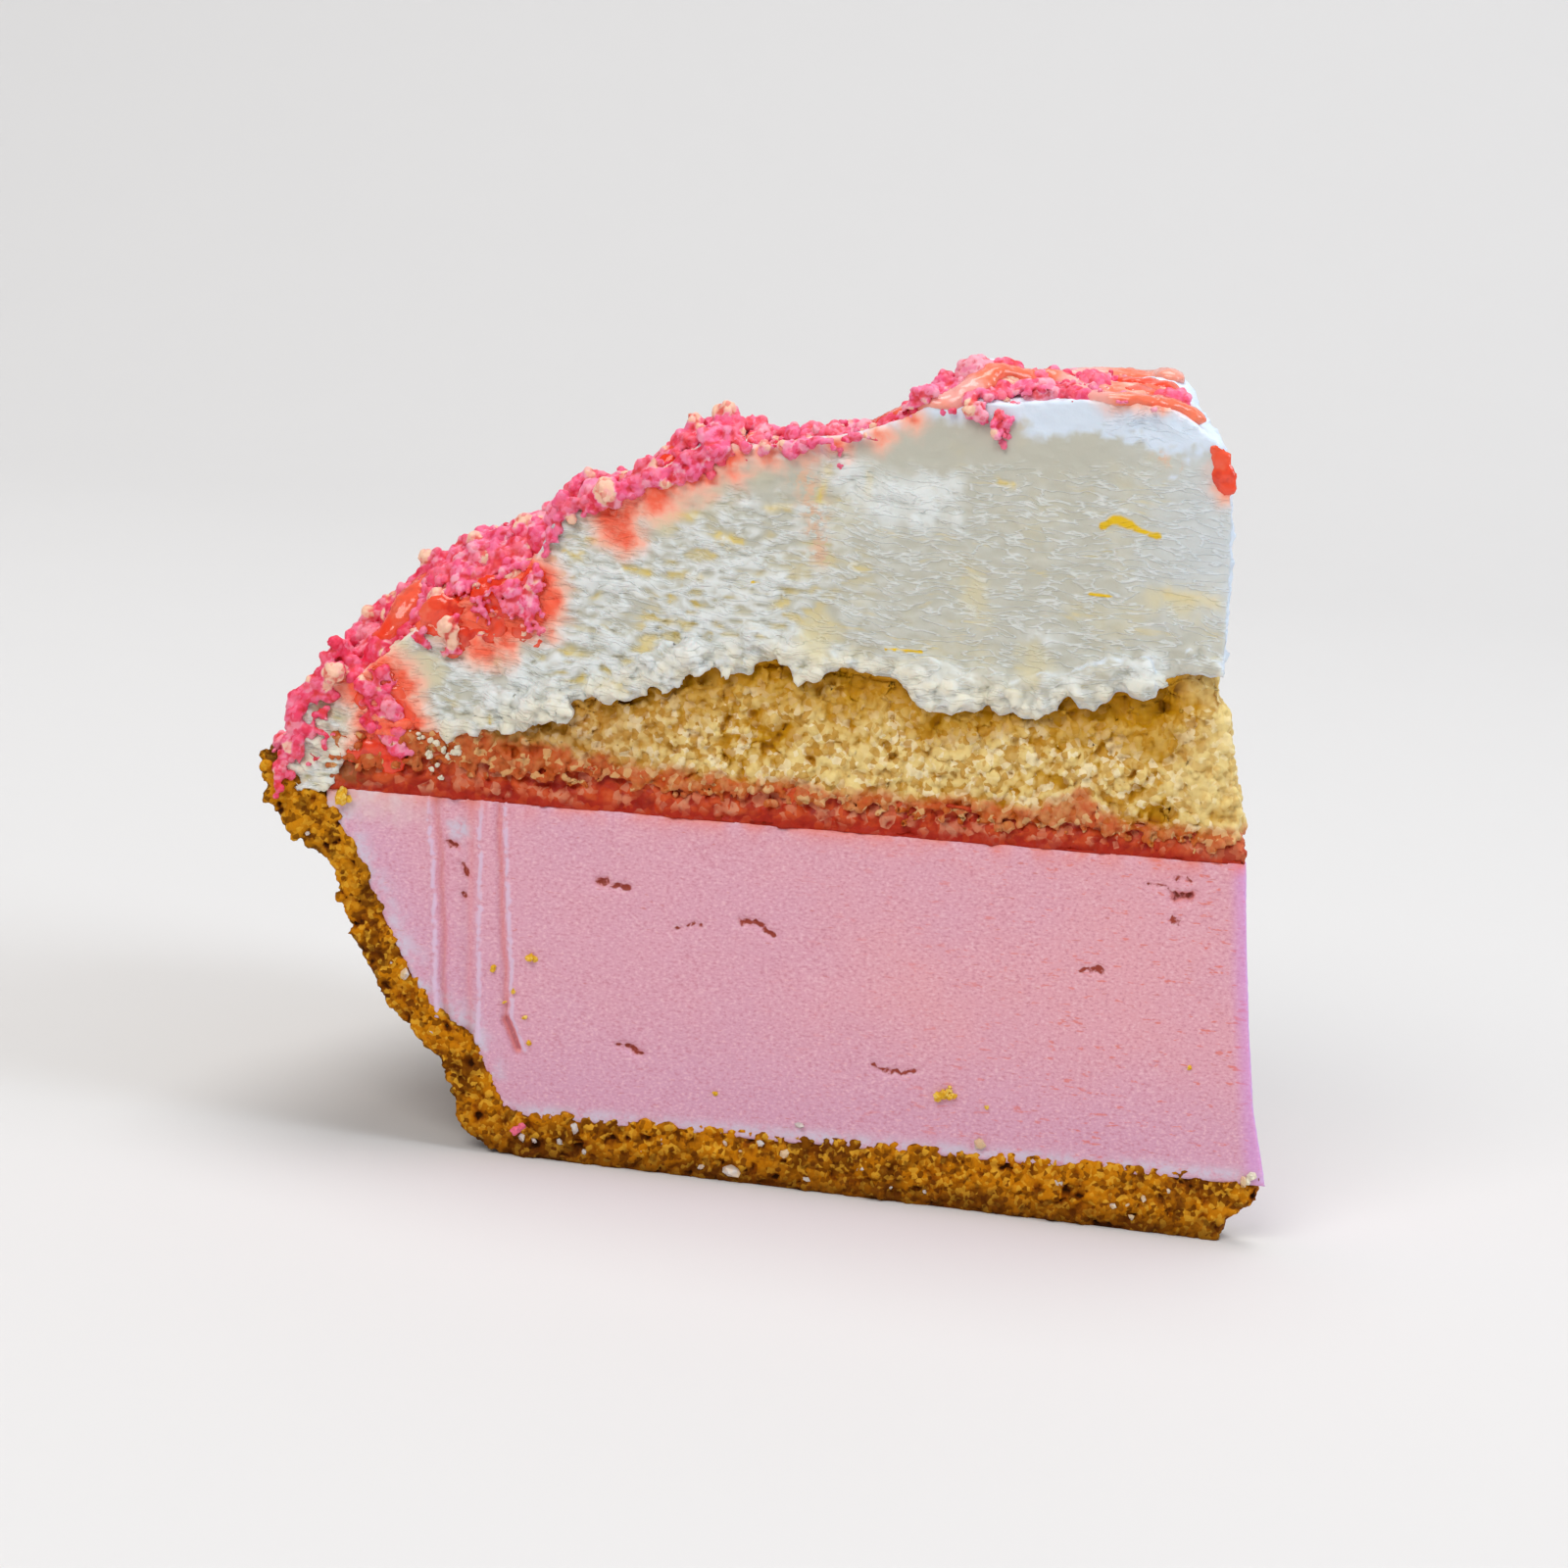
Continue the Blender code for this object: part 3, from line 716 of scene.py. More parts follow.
def makeCrust():
    draw = random.Random(crumbCrust["seed"])
    block = sweptLayer("crumb_crust", pie["rimRadius"], crustFloor,
                       lambda s, c: crustRoof(s, c) + pie["overlap"], rows=3)
    lumps = lumpCloud("lumps", crustLumps(draw), draw)
    crust = Surface(oneSkin("crumb_crust", [block, lumps], crumbCrust["grain"]))
    relief, clump, grain, holes, _ = crumbRelief(crust, crumbCrust)
    onTable = softStep(crust.facing[:, 2], -0.8, -0.95) * softStep(crust.height, 1, 0.3)
    crust.push((1 - onTable) * relief)
    # how far each point is raised; it drives the painted highlight on raised grains and the painted shade in
    # gaps
    high = np.where(crust.cut > 0.3, softStep(crust.stand(), -1.5, 0.6), 0.35 * clump + 0.65 * grain)
    crust.mark("high", np.clip(0.5 * high + 0.3 * grain + 0.3 * clump - 0.5 * holes, 0, 1))
    # the outside of the wall, which is painted olive as shade
    crust.mark("outside", (1 - crust.cut) * softStep(crust.radius, 78, 86))
    # the foot by the table, which is painted darker as shade
    crust.mark("low", softStep(crust.height, 3.5, 0.3))
    crust.mark("wall", crust.cut * softStep(crust.height, 22, 34))
    crust.settle()
    crust.thin(((crust.facing[:, 2] > -0.1) & (crust.radius < 110)) | (onTable > 0.5), crust.cut < 0.1)
    finish(crust.thing, "crumb_crust", Paint("baked biscuit crumb", crumbCrust).mixed(), "crust")


makeCrust()

# strawberry ice cream

strawberryIce = {
    "grain": 0.37,
    "base": (230, 166, 176), "cool": (216, 162, 188), "tip": (215, 150, 226), "frost": (212, 200, 216),
    "ivory": (230, 208, 204),
    "speck": (240, 196, 204), "dimple": (204, 128, 142),
    "stain": (238, 122, 94), "crack": (156, 60, 44), "fleck": (226, 112, 92),
    "groove": (226, 130, 124), "notch": (180, 100, 112), "nick": (206, 112, 100), "ridge": (226, 198, 222),
    # marks of the knife: (top, bottom, half width, depth, side of its ragged edge: 1 towards the rim)
    "knifeMarks": (((94.6, 41.0), (91.3, 13.0), 0.5, 0.45, 1), ((90.6, 41.0), (88.6, 12.0), 0.7, 0.35, -1),
                   ((87.6, 41.0), (84.8, 15.2), 0.42, 0.5, -1), ((84.8, 15.2), (83.0, 12.0), 0.5, 0.9, -1)),
    "strip": ((92.8, 41.0), (90.2, 13.0), 1.7, 0.45),       # the shallow strip between two of them
    "edgeWidth": 0.24,
    "smears": ((91.6, 35.6, 1.3), (103.6, 40.2, 1.5)),
    # torn holes and cracks: (from, to, half width, depth)
    "cracks": (((75.8, 31.6), (74.8, 31.9), 0.4, 0.8), ((74.8, 31.6), (72.4, 31.5), 0.2, 0.5),
               ((67.3, 27.2), (66.2, 27.7), 0.22, 0.5), ((65.5, 28.0), (64.1, 28.1), 0.22, 0.5),
               ((59.8, 29.1), (58.0, 29.2), 0.22, 0.5), ((58.0, 29.2), (56.0, 28.0), 0.2, 0.5),
               ((72.1, 13.9), (70.9, 13.6), 0.26, 0.6), ((70.9, 13.6), (69.3, 13.2), 0.36, 0.7),
               ((44.0, 15.1), (41.6, 14.3), 0.18, 0.4), ((41.6, 14.3), (39.1, 14.8), 0.2, 0.4),
               ((22.5, 28.0), (20.2, 28.3), 0.18, 0.3), ((13.4, 37.1), (11.7, 37.4), 0.42, 1.2),
               ((16.2, 38.3), (14.2, 38.0), 0.18, 0.4), ((13.6, 39.2), (11.9, 39.2), 0.16, 0.35),
               ((92.9, 34.1), (91.8, 33.6), 0.4, 0.8), ((90.9, 32.0), (90.3, 30.6), 0.25, 0.6),
               ((90.6, 28.6), (90.3, 28.0), 0.3, 0.6), ((13.4, 34.7), (12.7, 34.6), 0.4, 0.2)),
    # the painted shade in a crack has at least this width
    "thinnestShade": 0.32,               # the darkness of a crack is at least this wide
    "floorFrost": 0.8, "wallFrost": 3.2,    # how far the frost reaches over the crust's floor and wall
    "wallFrom": 84.0,
    "finish": {"Roughness": 0.5, "Subsurface Weight": 0.12, "Subsurface Scale": 1.2},
    "bumps": (("scraped", 0.35, 0.12), (("noise", 0.28, 3), 0.25, 0.05)),
    "rough": ("cloud", 3.0, 3, -0.6, 1.6),
    # layers of paint, see Paint.lay
    "layers": (
        ("base",), ("cool", ("cloud", 18.0, 2, 0.3, 0.75), 0.4), ("cool", "low", 0.8),
        # painted shade: the part of the cut towards the rim cooler and darker
        ("cool", ("right", 0.3, 0.0), 0.4), ("speck", ("fine", 0.5, 0.7), 0.7),
        ("dimple", ("fine", 0.48, 0.31), 0.65), ("nick", "nicks", 0.6), ("fleck", "dashes", "right", 0.7),
        # painted light: lavender on the blunt tip for the cool light that falls on it
        ("frost", "frost", ("cloud", 0.9, 3, 0.25, 0.6)), ("tip", "tip", 0.8),
        # painted shade: the knife marks and holes turn redder and darker the deeper they go
        ("ivory", "creamy", ("veil", 1.6, 3, 0.35, 0.8)), ("groove", ("deep", 0.1, 0.7), 0.8),
        ("notch", ("deep", 0.6, 0.85), 0.8), ("ridge", ("ridge", 0.15, 0.8), 0.8), ("stain", "bleed", 0.75),
        # painted shade: dark in the cracks and holes
        ("crack", ("broken", 0.35, 0.8))),
}


def layerPlace(surface):
    # where each point lies in the layer's own section, the same for both cuts
    inCut = surface.farCut > surface.nearCut
    return np.where(inCut, 108 - surface.outFar, surface.out)


def knifeRelief(ice, out, jitter):
    # the knife's and torn holes' depth, the ragged edges, the shallow strip and the painted shade in the
    # holes
    wander = 0.3 * waves(ice.place, 5.0, 2.2, 2)
    tooth = np.clip(1.3 * waves(ice.place * (1, 1, 2.0), 0.8, 3.9, 3), -0.75, 1.2)
    deep, proud, dark = (np.zeros(len(out)) for _ in range(3))
    for top, bottom, width, depth, side in strawberryIce["knifeMarks"]:
        away = awayFromStroke(out + wander, ice.height, top, bottom)
        inner = awayFromStroke(out + wander - side * (width + 0.35), ice.height, top, bottom)
        deep = np.maximum(deep, depth * np.exp(-(away / width) ** 2))
        proud = np.maximum(proud, np.exp(-(inner / strawberryIce["edgeWidth"] / (1 + tooth)) ** 2))
    top, bottom, width, depth = strawberryIce["strip"]
    away = awayFromStroke(out + wander, ice.height, top, bottom)
    strip = depth * (1 - softStep(away, width - 0.3, width + 0.2))
    ragged = waves(ice.place, 0.7, 5.8, 2)
    for start, end, width, depth in strawberryIce["cracks"]:
        away = awayFromStroke(out, ice.height + jitter, start, end)
        width = max(width, strawberryIce["thinnestShade"])
        mark = np.exp(-(away / width) ** 2) * np.clip(1.2 + 1.2 * ragged, 0, 1)
        deep = np.maximum(deep, depth * mark)
        dark = np.maximum(dark, mark)
    return deep, proud, strip, dark


def frostOn(ice, out, aboveCrust, jitter):
    # along the crust, on the smeared places and in the corner at the rim
    onWall = out > strawberryIce["wallFrom"]
    patchy = softStep(waves(ice.place, 2.4, 6.1, 3), -0.45, 0.25)
    reach = np.where(onWall, strawberryIce["wallFrost"], strawberryIce["floorFrost"])
    frost = np.exp(-(aboveCrust / reach) ** 2) * np.where(onWall, patchy, 0.7 + 0.3 * patchy)
    smears = discNearness(out + jitter, ice.height + jitter, strawberryIce["smears"], 0.7)
    corner = softStep(ice.out, 102, 105) * softStep(ice.height, 34, 38)
    return np.clip(np.maximum(np.maximum(frost, 0.9 * smears), corner) + 0.6 * ice.tip, 0, 1)


def strawberryPaint():
    paint = Paint("strawberry ice cream", strawberryIce)
    broken = paint.times(paint.mask("crack"), paint.spread(paint.cloud(0.5, 3), 0.5, 1.5))
    paint.patterns.update(
        broken=broken, scraped=paint.cloud(0.9, 4, paint.stretched(1, 1, 0.5)),
        fine=paint.cloud(0.34, 3, paint.stretched(1.3, 1, 0.8)),
        nicks=paint.within(paint.cloud(0.8, 2, paint.stretched(2.2, 1, 0.4)), 0.66, 0.74),
        dashes=paint.within(paint.cloud(0.9, 2, paint.stretched(1.8, 1, 0.5)), 0.62, 0.7))
    return paint.mixed()


def makeStrawberryIce():
    block = sweptLayer("strawberry_layer", pie["iceCreamRadius"] + 0.5,
                       lambda s, c: crustRoof(s, c) - 0.9,
                       lambda s, c: level("iceCreamTop", s), rows=4)
    ice = Surface(oneSkin("strawberry_layer", [block], strawberryIce["grain"]))
    out = layerPlace(ice)
    jitter = 0.5 * waves(ice.place, 1.0, 8.8, 3)
    deep, proud, strip, dark = knifeRelief(ice, out, jitter)
    aboveCrust = ice.height - sectionHeights(lambda s: crustRoof(s, 0), ice.radius, "iceCreamRadius")
    underJam = level("iceCreamTop", ice.out) - ice.height
    edge = softStep(underJam, 0.0, 0.8)
    tiny = waves(ice.place * (1, 1, 2.2), 0.9, 4.4, 3)
    slow = waves(ice.place, 9.0, 1.0, 2)
    ice.push(ice.cut * (0.3 * proud - (deep + strip) * edge + 0.06 * tiny + 0.12 * slow - 0.12 * (1 - edge)))
    ice.mark("frost", frostOn(ice, out, aboveCrust, jitter))
    ice.mark("ridge", proud * ice.cut * edge)
    # the blunt tip, painted lavender as cool light over its frost
    point = readOff(pie["pointLean"], ice.height)
    ice.mark("tip", np.maximum(ice.tip, 0.6 * softStep(point + 1.2 - ice.radius, -0.9, 0.9)))
    atRim = softStep(ice.out + 2.5 * jitter, 92, 101) * softStep(ice.height + 2.0 * jitter, 34.5, 38.2)
    ice.mark("creamy", atRim * ice.cut)
    # the cracks and holes, which are painted dark as shade
    ice.mark("crack", dark * ice.cut)
    # how deep the knife marks and holes go, which is painted darker as shade
    ice.mark("deep", np.clip(deep, 0, 1) * ice.cut)
    blotches = softStep(waves(ice.place, 3.0, 9.4, 3), -0.5, 0.5)
    ice.mark("bleed", np.exp(-np.clip(underJam, 0, 99) / 0.9) * blotches)
    ice.mark("low", softStep(aboveCrust, 16, 1))
    # 1 near the point; the part towards the rim gets a painted shade from it
    ice.mark("right", softStep(ice.out, 70, 5))
    ice.settle()
    ice.thin((ice.cut < 0.01) & (ice.tip < 0.01))
    finish(ice.thing, "strawberry_ice_cream", strawberryPaint(), "strawberry_ice_cream")


makeStrawberryIce()

# strawberry jam

strawberryJam = {
    "grain": 0.29,
    "dark": (150, 24, 2), "red": (198, 52, 12), "soaked": (208, 82, 34), "crumb": (222, 152, 116),
    "line": (170, 32, 8), "ember": (196, 66, 14), "end": (150, 92, 44), "pale": (216, 124, 84),
    "soft": 700, "softWidths": (0.6, 1.6),          # soaked crumbs that stand out of its cuts
    "seedSize": 1.5, "seedDepth": 0.5,
    "finish": {"Roughness": 0.4, "IOR": 1.3},
    "crystal": 0.8, "seeds": 1.3, "bumps": (("middle", 0.5, -0.25), (("noise", 0.5, 4), 0.4, 0.15)),
    "rough": ("veil", 1.5, 3, 0.35, 0.65),
    # layers of paint, see Paint.lay
    "layers": (
        ("dark",), ("red", ("cloud", 2.6, 3, 0.4, 0.7)), ("dark", "left", 0.85),
        ("soaked", "top", ("high", 0.2, 0.8)), ("crumb", ("crystal", 0.72, 0.9), "top"),
        ("pale", "point", 0.6), ("crumb", ("grain", 0.68, 0.85), ("high", 0.3, 0.6), 0.7),
        ("end", "end", 0.7), ("line", ("crystal", 0.3, 0.1), 0.6),
        ("line", ("cloud", 3.4, 3, 0.55, 0.7), 0.5),
        ("line", "bottom", 0.85), ("ember", ("crystal", 0.55, 0.95), 0.5)),
    "seed": 17,
}


def jamLumps(draw):
    lumps = []
    for _ in range(strawberryJam["soft"]):
        station, share = draw.uniform(0, pie["jamRadius"]), draw.choice((0.0, 0.0, 1.0))
        bottom, top = level("iceCreamTop", station) + 0.5, level("jamTop", station) + 0.3
        height = mix(bottom, top, math.sqrt(draw.random()))
        place = placeInSlice(station, height, share) + intoCut(share) * draw.uniform(0, 0.6)
        lumps.append((place, draw.triangular(*strawberryJam["softWidths"], 0.8)))
    return lumps


def jamPaint():
    paint = Paint("wet strawberry jam", strawberryJam)
    paint.patterns["grain"], _ = paint.crystals(strawberryJam["seeds"])
    return paint.mixed()


def makeJam():
    draw = random.Random(strawberryJam["seed"])
    block = sweptLayer("jam_layer", pie["jamRadius"] + 1.4,
                       lambda s, c: level("iceCreamTop", s) - pie["overlap"],
                       lambda s, c: level("jamTop", s) + 0.5, rows=2)
    lumps = lumpCloud("lumps", jamLumps(draw), draw)
    jam = Surface(oneSkin("jam_layer", [block, lumps], strawberryJam["grain"]))
    seedFill, seedTone = grains(jam.place, strawberryJam["seedSize"], 1.7)
    fine, _ = grains(jam.place, 0.9, 4.9)
    slow = waves(jam.place, 4.0, 3.0, 3)
    rise = (jam.height - level("iceCreamTop", jam.out)) / 2.6
    jam.push(jam.cut * (0.4 * slow - 0.45 + strawberryJam["seedDepth"] * (seedFill - 0.4) * (0.3 + seedTone)
                        + 0.35 * fine - 0.5 * softStep(rise, 0.6, 1.1)))
    jam.mark("top", softStep(rise + 0.9 * slow + 0.5 * (seedTone - 0.5), 0.1, 0.7))
    jam.mark("bottom", softStep(rise - 0.25 * slow, 0.42, 0.12))
    jam.mark("high", 0.5 * seedFill + 0.5 * fine)
    jam.mark("left", softStep(jam.out, 66, 98))
    jam.mark("end", softStep(jam.out + slow, 101, 104))
    jam.mark("point", softStep(jam.out + 3.0 * slow, 15, 9))
    jam.settle()
    jam.thin((jam.cut < 0.01) & (jam.tip < 0.01))
    finish(jam.thing, "strawberry_jam", jamPaint(), "strawberry_jam")


makeJam()

# sponge cake

spongeCake = {
    "grain": 0.27,
    "lumps": 1700, "lumpWidth": (0.6, 2.2),
    "overJam": 420, "atRim": 60,        # crumbs that hang over the jam, and soaked ones at the rim
    # packed crumb: (size, seed, depth, how far it sinks, unevenness)
    "clumps": (2.9, 2.1, 0.75, 0.6, 0.4), "grains": (0.85, 6.7, 0.55, 0.55, 0.25),
    "holes": (2.0, 4.5, 0.25, 0.6, 0.6),    # (size, seed, from, to, depth)
    "mid": (202, 150, 28), "pale": (237, 211, 140), "deep": (188, 130, 0), "shade": (152, 98, 0),
    "soaked": (196, 72, 26), "left": (176, 120, 58), "whiter": (247, 231, 190), "mustard": (196, 142, 6),
    # how the cut changes over its length: pale clusters (out, height, reach)
    "clusters": ((52, 45.5, 7), (38, 48.5, 5.5), (12, 50, 5), (5, 46, 6), (6, 52, 7), (7, 57, 6.5),
                 (10, 60, 4), (45, 46, 5), (24, 46.5, 4), (66, 48, 4), (74, 47, 3.5)),
    # how high the jam soaked up: (out, height)
    "soakDepth": ((0, 0.8), (20, 1.0), (24.8, 3.6), (29, 1.2), (50, 1.2), (70, 1.6), (84, 2.6), (100, 4)),
    "finish": {"Roughness": 0.5, "IOR": 1.25, "Subsurface Weight": 0.08, "Subsurface Scale": 0.8},
    "crystal": 0.75, "bumps": (("middle", 0.5, -0.25), (("noise", 0.4, 4), 0.4, 0.12)),
    # layers of paint, see Paint.lay
    "layers": (
        # painted highlight: pale on the raised crumb
        ("mid",), ("pale", "cluster", 0.7), ("pale", ("high", 0.55, 0.95), 0.8),
        ("pale", ("tone", 0.5, 0.8), 0.5), ("whiter", ("crystal", 0.66, 0.9), 0.75), ("mustard", "rich", 0.7),
        ("deep", ("tone", 0.4, 0.15), 0.75), ("deep", ("crystal", 0.3, 0.05), 0.7), ("left", "left", 0.7),
        # painted shade: deep under the cream, and deep and the shade colour where the crumb sinks
        ("deep", "shade", 0.8), ("deep", ("high", 0.62, 0.2)), ("shade", ("high", 0.35, 0.05), 0.85),
        ("pale", "point", ("veil", 1.4, 3, 0.35, 0.75)), ("soaked", "soak", ("veil", 1.6, 3, 0.6, 0.95)),
        ("pale", "soak", ("crystal", 0.7, 0.9), 0.45)),
    "seed": 23,
}


def spongeLumps(draw):
    lumps = []
    for number in range(spongeCake["lumps"] + spongeCake["overJam"] + spongeCake["atRim"]):
        width = draw.triangular(*spongeCake["lumpWidth"], 1.1)
        station = draw.uniform(1, pie["spongeRadius"] - 1)
        share = 0.0 if draw.random() < 0.55 else 1.0
        bottom, top = level("jamTop", station), seamHeight(station, share)
        height = mix(bottom + 0.2, top - 0.4, draw.random())
        if number >= spongeCake["lumps"]:
            height = bottom + draw.triangular(-2.0, 0.8, 0.0)
            width *= 0.75
        if number >= spongeCake["lumps"] + spongeCake["overJam"]:
            station, share = draw.uniform(99, 106.5), 0.0
            height = draw.uniform(41.2, 45.0)
        place = placeInSlice(station, height, share)
        lumps.append((place + intoCut(share) * width * draw.uniform(-0.1, 0.4), width))
    return lumps


def makeSponge():
    draw = random.Random(spongeCake["seed"])
    block = sweptLayer("sponge_layer", pie["spongeRadius"],
                       lambda s, c: level("jamTop", s) - 0.1,
                       lambda s, c: seamHeight(s, c) + pie["overlap"], rows=5)
    lumps = lumpCloud("lumps", spongeLumps(draw), draw)
    cake = Surface(oneSkin("sponge_layer", [block, lumps], spongeCake["grain"]))
    relief, clump, grain, holes, grainTone = crumbRelief(cake, spongeCake)
    top = sectionHeights(spongeHump, outAlongCut(cake), "spongeRadius")
    underCream = softStep(top - cake.height, 3.4, 0.6)
    overJam = cake.height - level("jamTop", cake.out)
    hollow = 1.0 * underCream * softStep(top - level("jamTop", cake.out), 3, 8)
    cake.push(np.clip(cake.cut + cake.tip, 0, 1) * (relief - hollow))
    # how far each point is raised; it drives the painted highlight on raised crumb and the painted shade in
    # gaps
    high = softStep(cake.stand(), -2.0, 0.9)
    cake.mark("high", np.clip(0.55 * high + 0.35 * grain + 0.25 * clump - 0.25 * holes, 0, 1))
    cake.mark("shade", underCream * softStep(cake.out, 92, 70) * softStep(cake.out, 12, 16))
    depth = readOff(spongeCake["soakDepth"], cake.out) * (1 + 0.6 * waves(cake.place, 3.0, 2.4, 3))
    cake.mark("soak", softStep(depth - overJam + 0.5 * (grainTone - 0.5), -0.7, 0.9))
    cake.mark("left", softStep(cake.out, 60, 90))
    richer = softStep(cake.height + 3.0 * waves(cake.place, 5.0, 3.2, 3), 50, 54) * softStep(cake.out, 78, 66)
    cake.mark("rich", richer * softStep(cake.out, 12, 16))
    spots = spotNearness(outAlongCut(cake), cake.height, spongeCake["clusters"], 0.5,
                         1.5 * waves(cake.place, 2.0, 9.3))
    cluster = np.maximum(softStep(waves(cake.place, 6.0, 1.3, 3), 0.05, 0.5), spots)
    cake.mark("cluster", cluster)
    cake.mark("point", softStep(cake.out, 17, 11) * cluster)
    cake.settle()
    cake.thin((cake.cut < 0.01) & (cake.tip < 0.01))
    finish(cake.thing, "sponge_cake", Paint("sponge cake crumb", spongeCake).mixed(), "sponge_cake")


makeSponge()

# vanilla cream

vanillaCream = {
    "grain": 0.4,
    # cool is painted cool light, laid on the tip, near the point and over the frost
    "base": (195, 193, 178), "white": (232, 236, 234), "cool": (222, 235, 251), "yellow": (216, 204, 160),
    "butter": (224, 212, 168), "trough": (234, 204, 92),
    "ivory": (236, 228, 200), "stain": (255, 190, 166), "stainDeep": (255, 88, 48),
    "rosy": (240, 196, 190), "fleckTint": (232, 190, 14), "smudge": (224, 188, 158),
    # how the scrape marks run: (out, rise)
    "tilt": ((0, 0.6), (20, -0.4), (45, 0), (70, -1.5), (90, -4), (108, -4)),
    # torn crumbs of cream along the seam with the sponge, and bunches of them: (from, to, count)
    "fluff": 420, "fluffWidth": (0.9, 3.4),
    "bunches": ((17, 22, 50), (24, 31, 60), (36.5, 44, 60), (66, 75, 50), (82, 90, 50), (52, 58, 30)),
    # how far the frost reaches down from the top of the cut: (out, depth)
    "frostDepth": ((8, 6.0), (16, 5.0), (24, 3.2), (32, 2.6), (40, 1.6), (46, 0.6), (60, 1.4), (66, 0.4)),
    # white patches and torn places on the cut: (out, height, reach)
    "patches": (
        (49.5, 79.3, 2.4), (46, 78.6, 3), (43, 78.4, 2.6), (48, 76, 2.6), (44, 75.6, 2.2), (51, 77, 2)),
    "torn": ((53.3, 78.5, 5.0), (47.5, 77, 5.5), (42.4, 75.2, 4.5), (60, 66, 5), (70, 60, 6), (78, 57, 7),
             (88, 53, 6), (66, 57, 5), (78, 64, 5), (30, 63, 3), (20, 62, 4), (64, 75, 3), (22, 88, 6)),
    # smooth buttery places: (out, height, reach)
    "smooth": ((38.4, 67.8, 1.7), (37.2, 66.0, 1.0), (100.7, 55.5, 2.4), (97, 52.5, 2.2), (54, 61, 2.2),
               (31, 60.5, 2.0), (72, 72.5, 1.8), (16, 68.7, 1.4), (19, 69, 1.1)),
    # raised yellow flecks: (from, to, width)
    "flecks": (((25.3, 76.0), (24.0, 76.6), 0.5), ((24.2, 76.6), (22.4, 76.4), 0.75),
               ((22.4, 76.3), (19.2, 75.3), 0.42), ((26.0, 68.7), (23.6, 68.6), 0.3),
               ((64, 66), (61, 66.3), 0.2), ((47, 60.4), (43, 60.6), 0.22)),
    # soft lemon streaks: (from, to, width)
    "lemon": (
        ((12.6, 69.0), (17.6, 69.6), 0.7), ((72, 72.5), (68.5, 72.8), 0.35), ((80, 69), (77, 69.2), 0.35),
        ((66, 70.6), (63.4, 70.5), 0.35), ((76, 66.2), (73, 66.1), 0.35), ((84, 64.2), (81.5, 64.5), 0.35),
        ((70, 66.3), (67.4, 66), 0.35), ((82.5, 67.3), (80.6, 67.2), 0.3), ((61, 74.2), (58.6, 74.4), 0.35),
        ((50.2, 76.5), (50.6, 79), 0.4), ((55.6, 75.4), (54.8, 79.2), 0.4), ((36.6, 79.6), (35, 79.4), 0.3)),
    # brownish smudges: (from, to, width)
    "smudges": (((57.5, 78.6), (55.8, 74.0), 1.3), ((56.0, 73.5), (54.8, 69.5), 1.0),
                ((20.6, 84.0), (18.0, 83.0), 0.4)),
    # sauce that soaked in: (out, height, reach), as seen from the front
    "stains": (
        (97.8, 61.7, 4.3), (92.4, 62.3, 6.4), (87, 61.8, 5.3), (90, 58.3, 4.3), (100.8, 50.7, 3.8),
        (99.9, 46.4, 4.3), (100.7, 43.1, 3.8), (77, 70.6, 2.6), (77.4, 73.2, 3.4), (73, 75, 3), (69, 77, 2.4),
        (65, 78.8, 1.9), (61.5, 80.2, 1.5), (57.5, 80.9, 1.3), (54, 81.6, 1.2), (46.5, 85.2, 1.1),
        (83.9, 62.6, 2.2), (95.6, 60.2, 3.4),
        (12.9, 81.6, 1.3), (12.2, 80.6, 1.1), (21.6, 90.8, 2.4), (25.5, 90.4, 1.9), (18, 91, 1.8),
        (49.5, 82.9, 1.2), (104.6, 50.3, 2.1)),
    "finish": {"Roughness": 0.55, "Subsurface Weight": 0.15, "Subsurface Scale": 1.2},
    "bumps": (("streaks", 0.5, 0.35), (("noise", 0.45, 4), 0.4, 0.12)),
    "rough": ("veil", 2.5, 3, 0.4, 0.65),
    # layers of paint, see Paint.lay
    "layers": (
        ("base",), ("yellow", ("cloud", 8.0, 3, 0.48, 0.75), 0.5), ("trough", "tints", "lined", 0.3),
        # painted highlight: white on the crests of the scrape marks and in the thin streaks
        ("white", "streaks", 0.6), ("trough", "trough", 0.8), ("white", "white", 0.9), ("white", "skin", 0.9),
        # painted light: the cool bluish white on the tip, near the point and over the frost
        ("ivory", "ivory", 0.7), ("cool", "tip", 0.8), ("cool", "nearPoint", 0.45), ("cool", "frost", 0.85),
        ("rosy", "outer", ("cloud", 9.0, 5, 0.38, 0.75)), ("butter", "smooth", 0.6),
        ("smudge", "smudge", ("cloud", 0.9, 3, 0.4, 0.6)), ("stain", ("soaked", 0.0, 0.7)),
        ("stainDeep", ("soaked", 0.45, 1.0), 0.9), ("fleckTint", ("fleck", 0.4, 0.8))),
    "seed": 31,
}


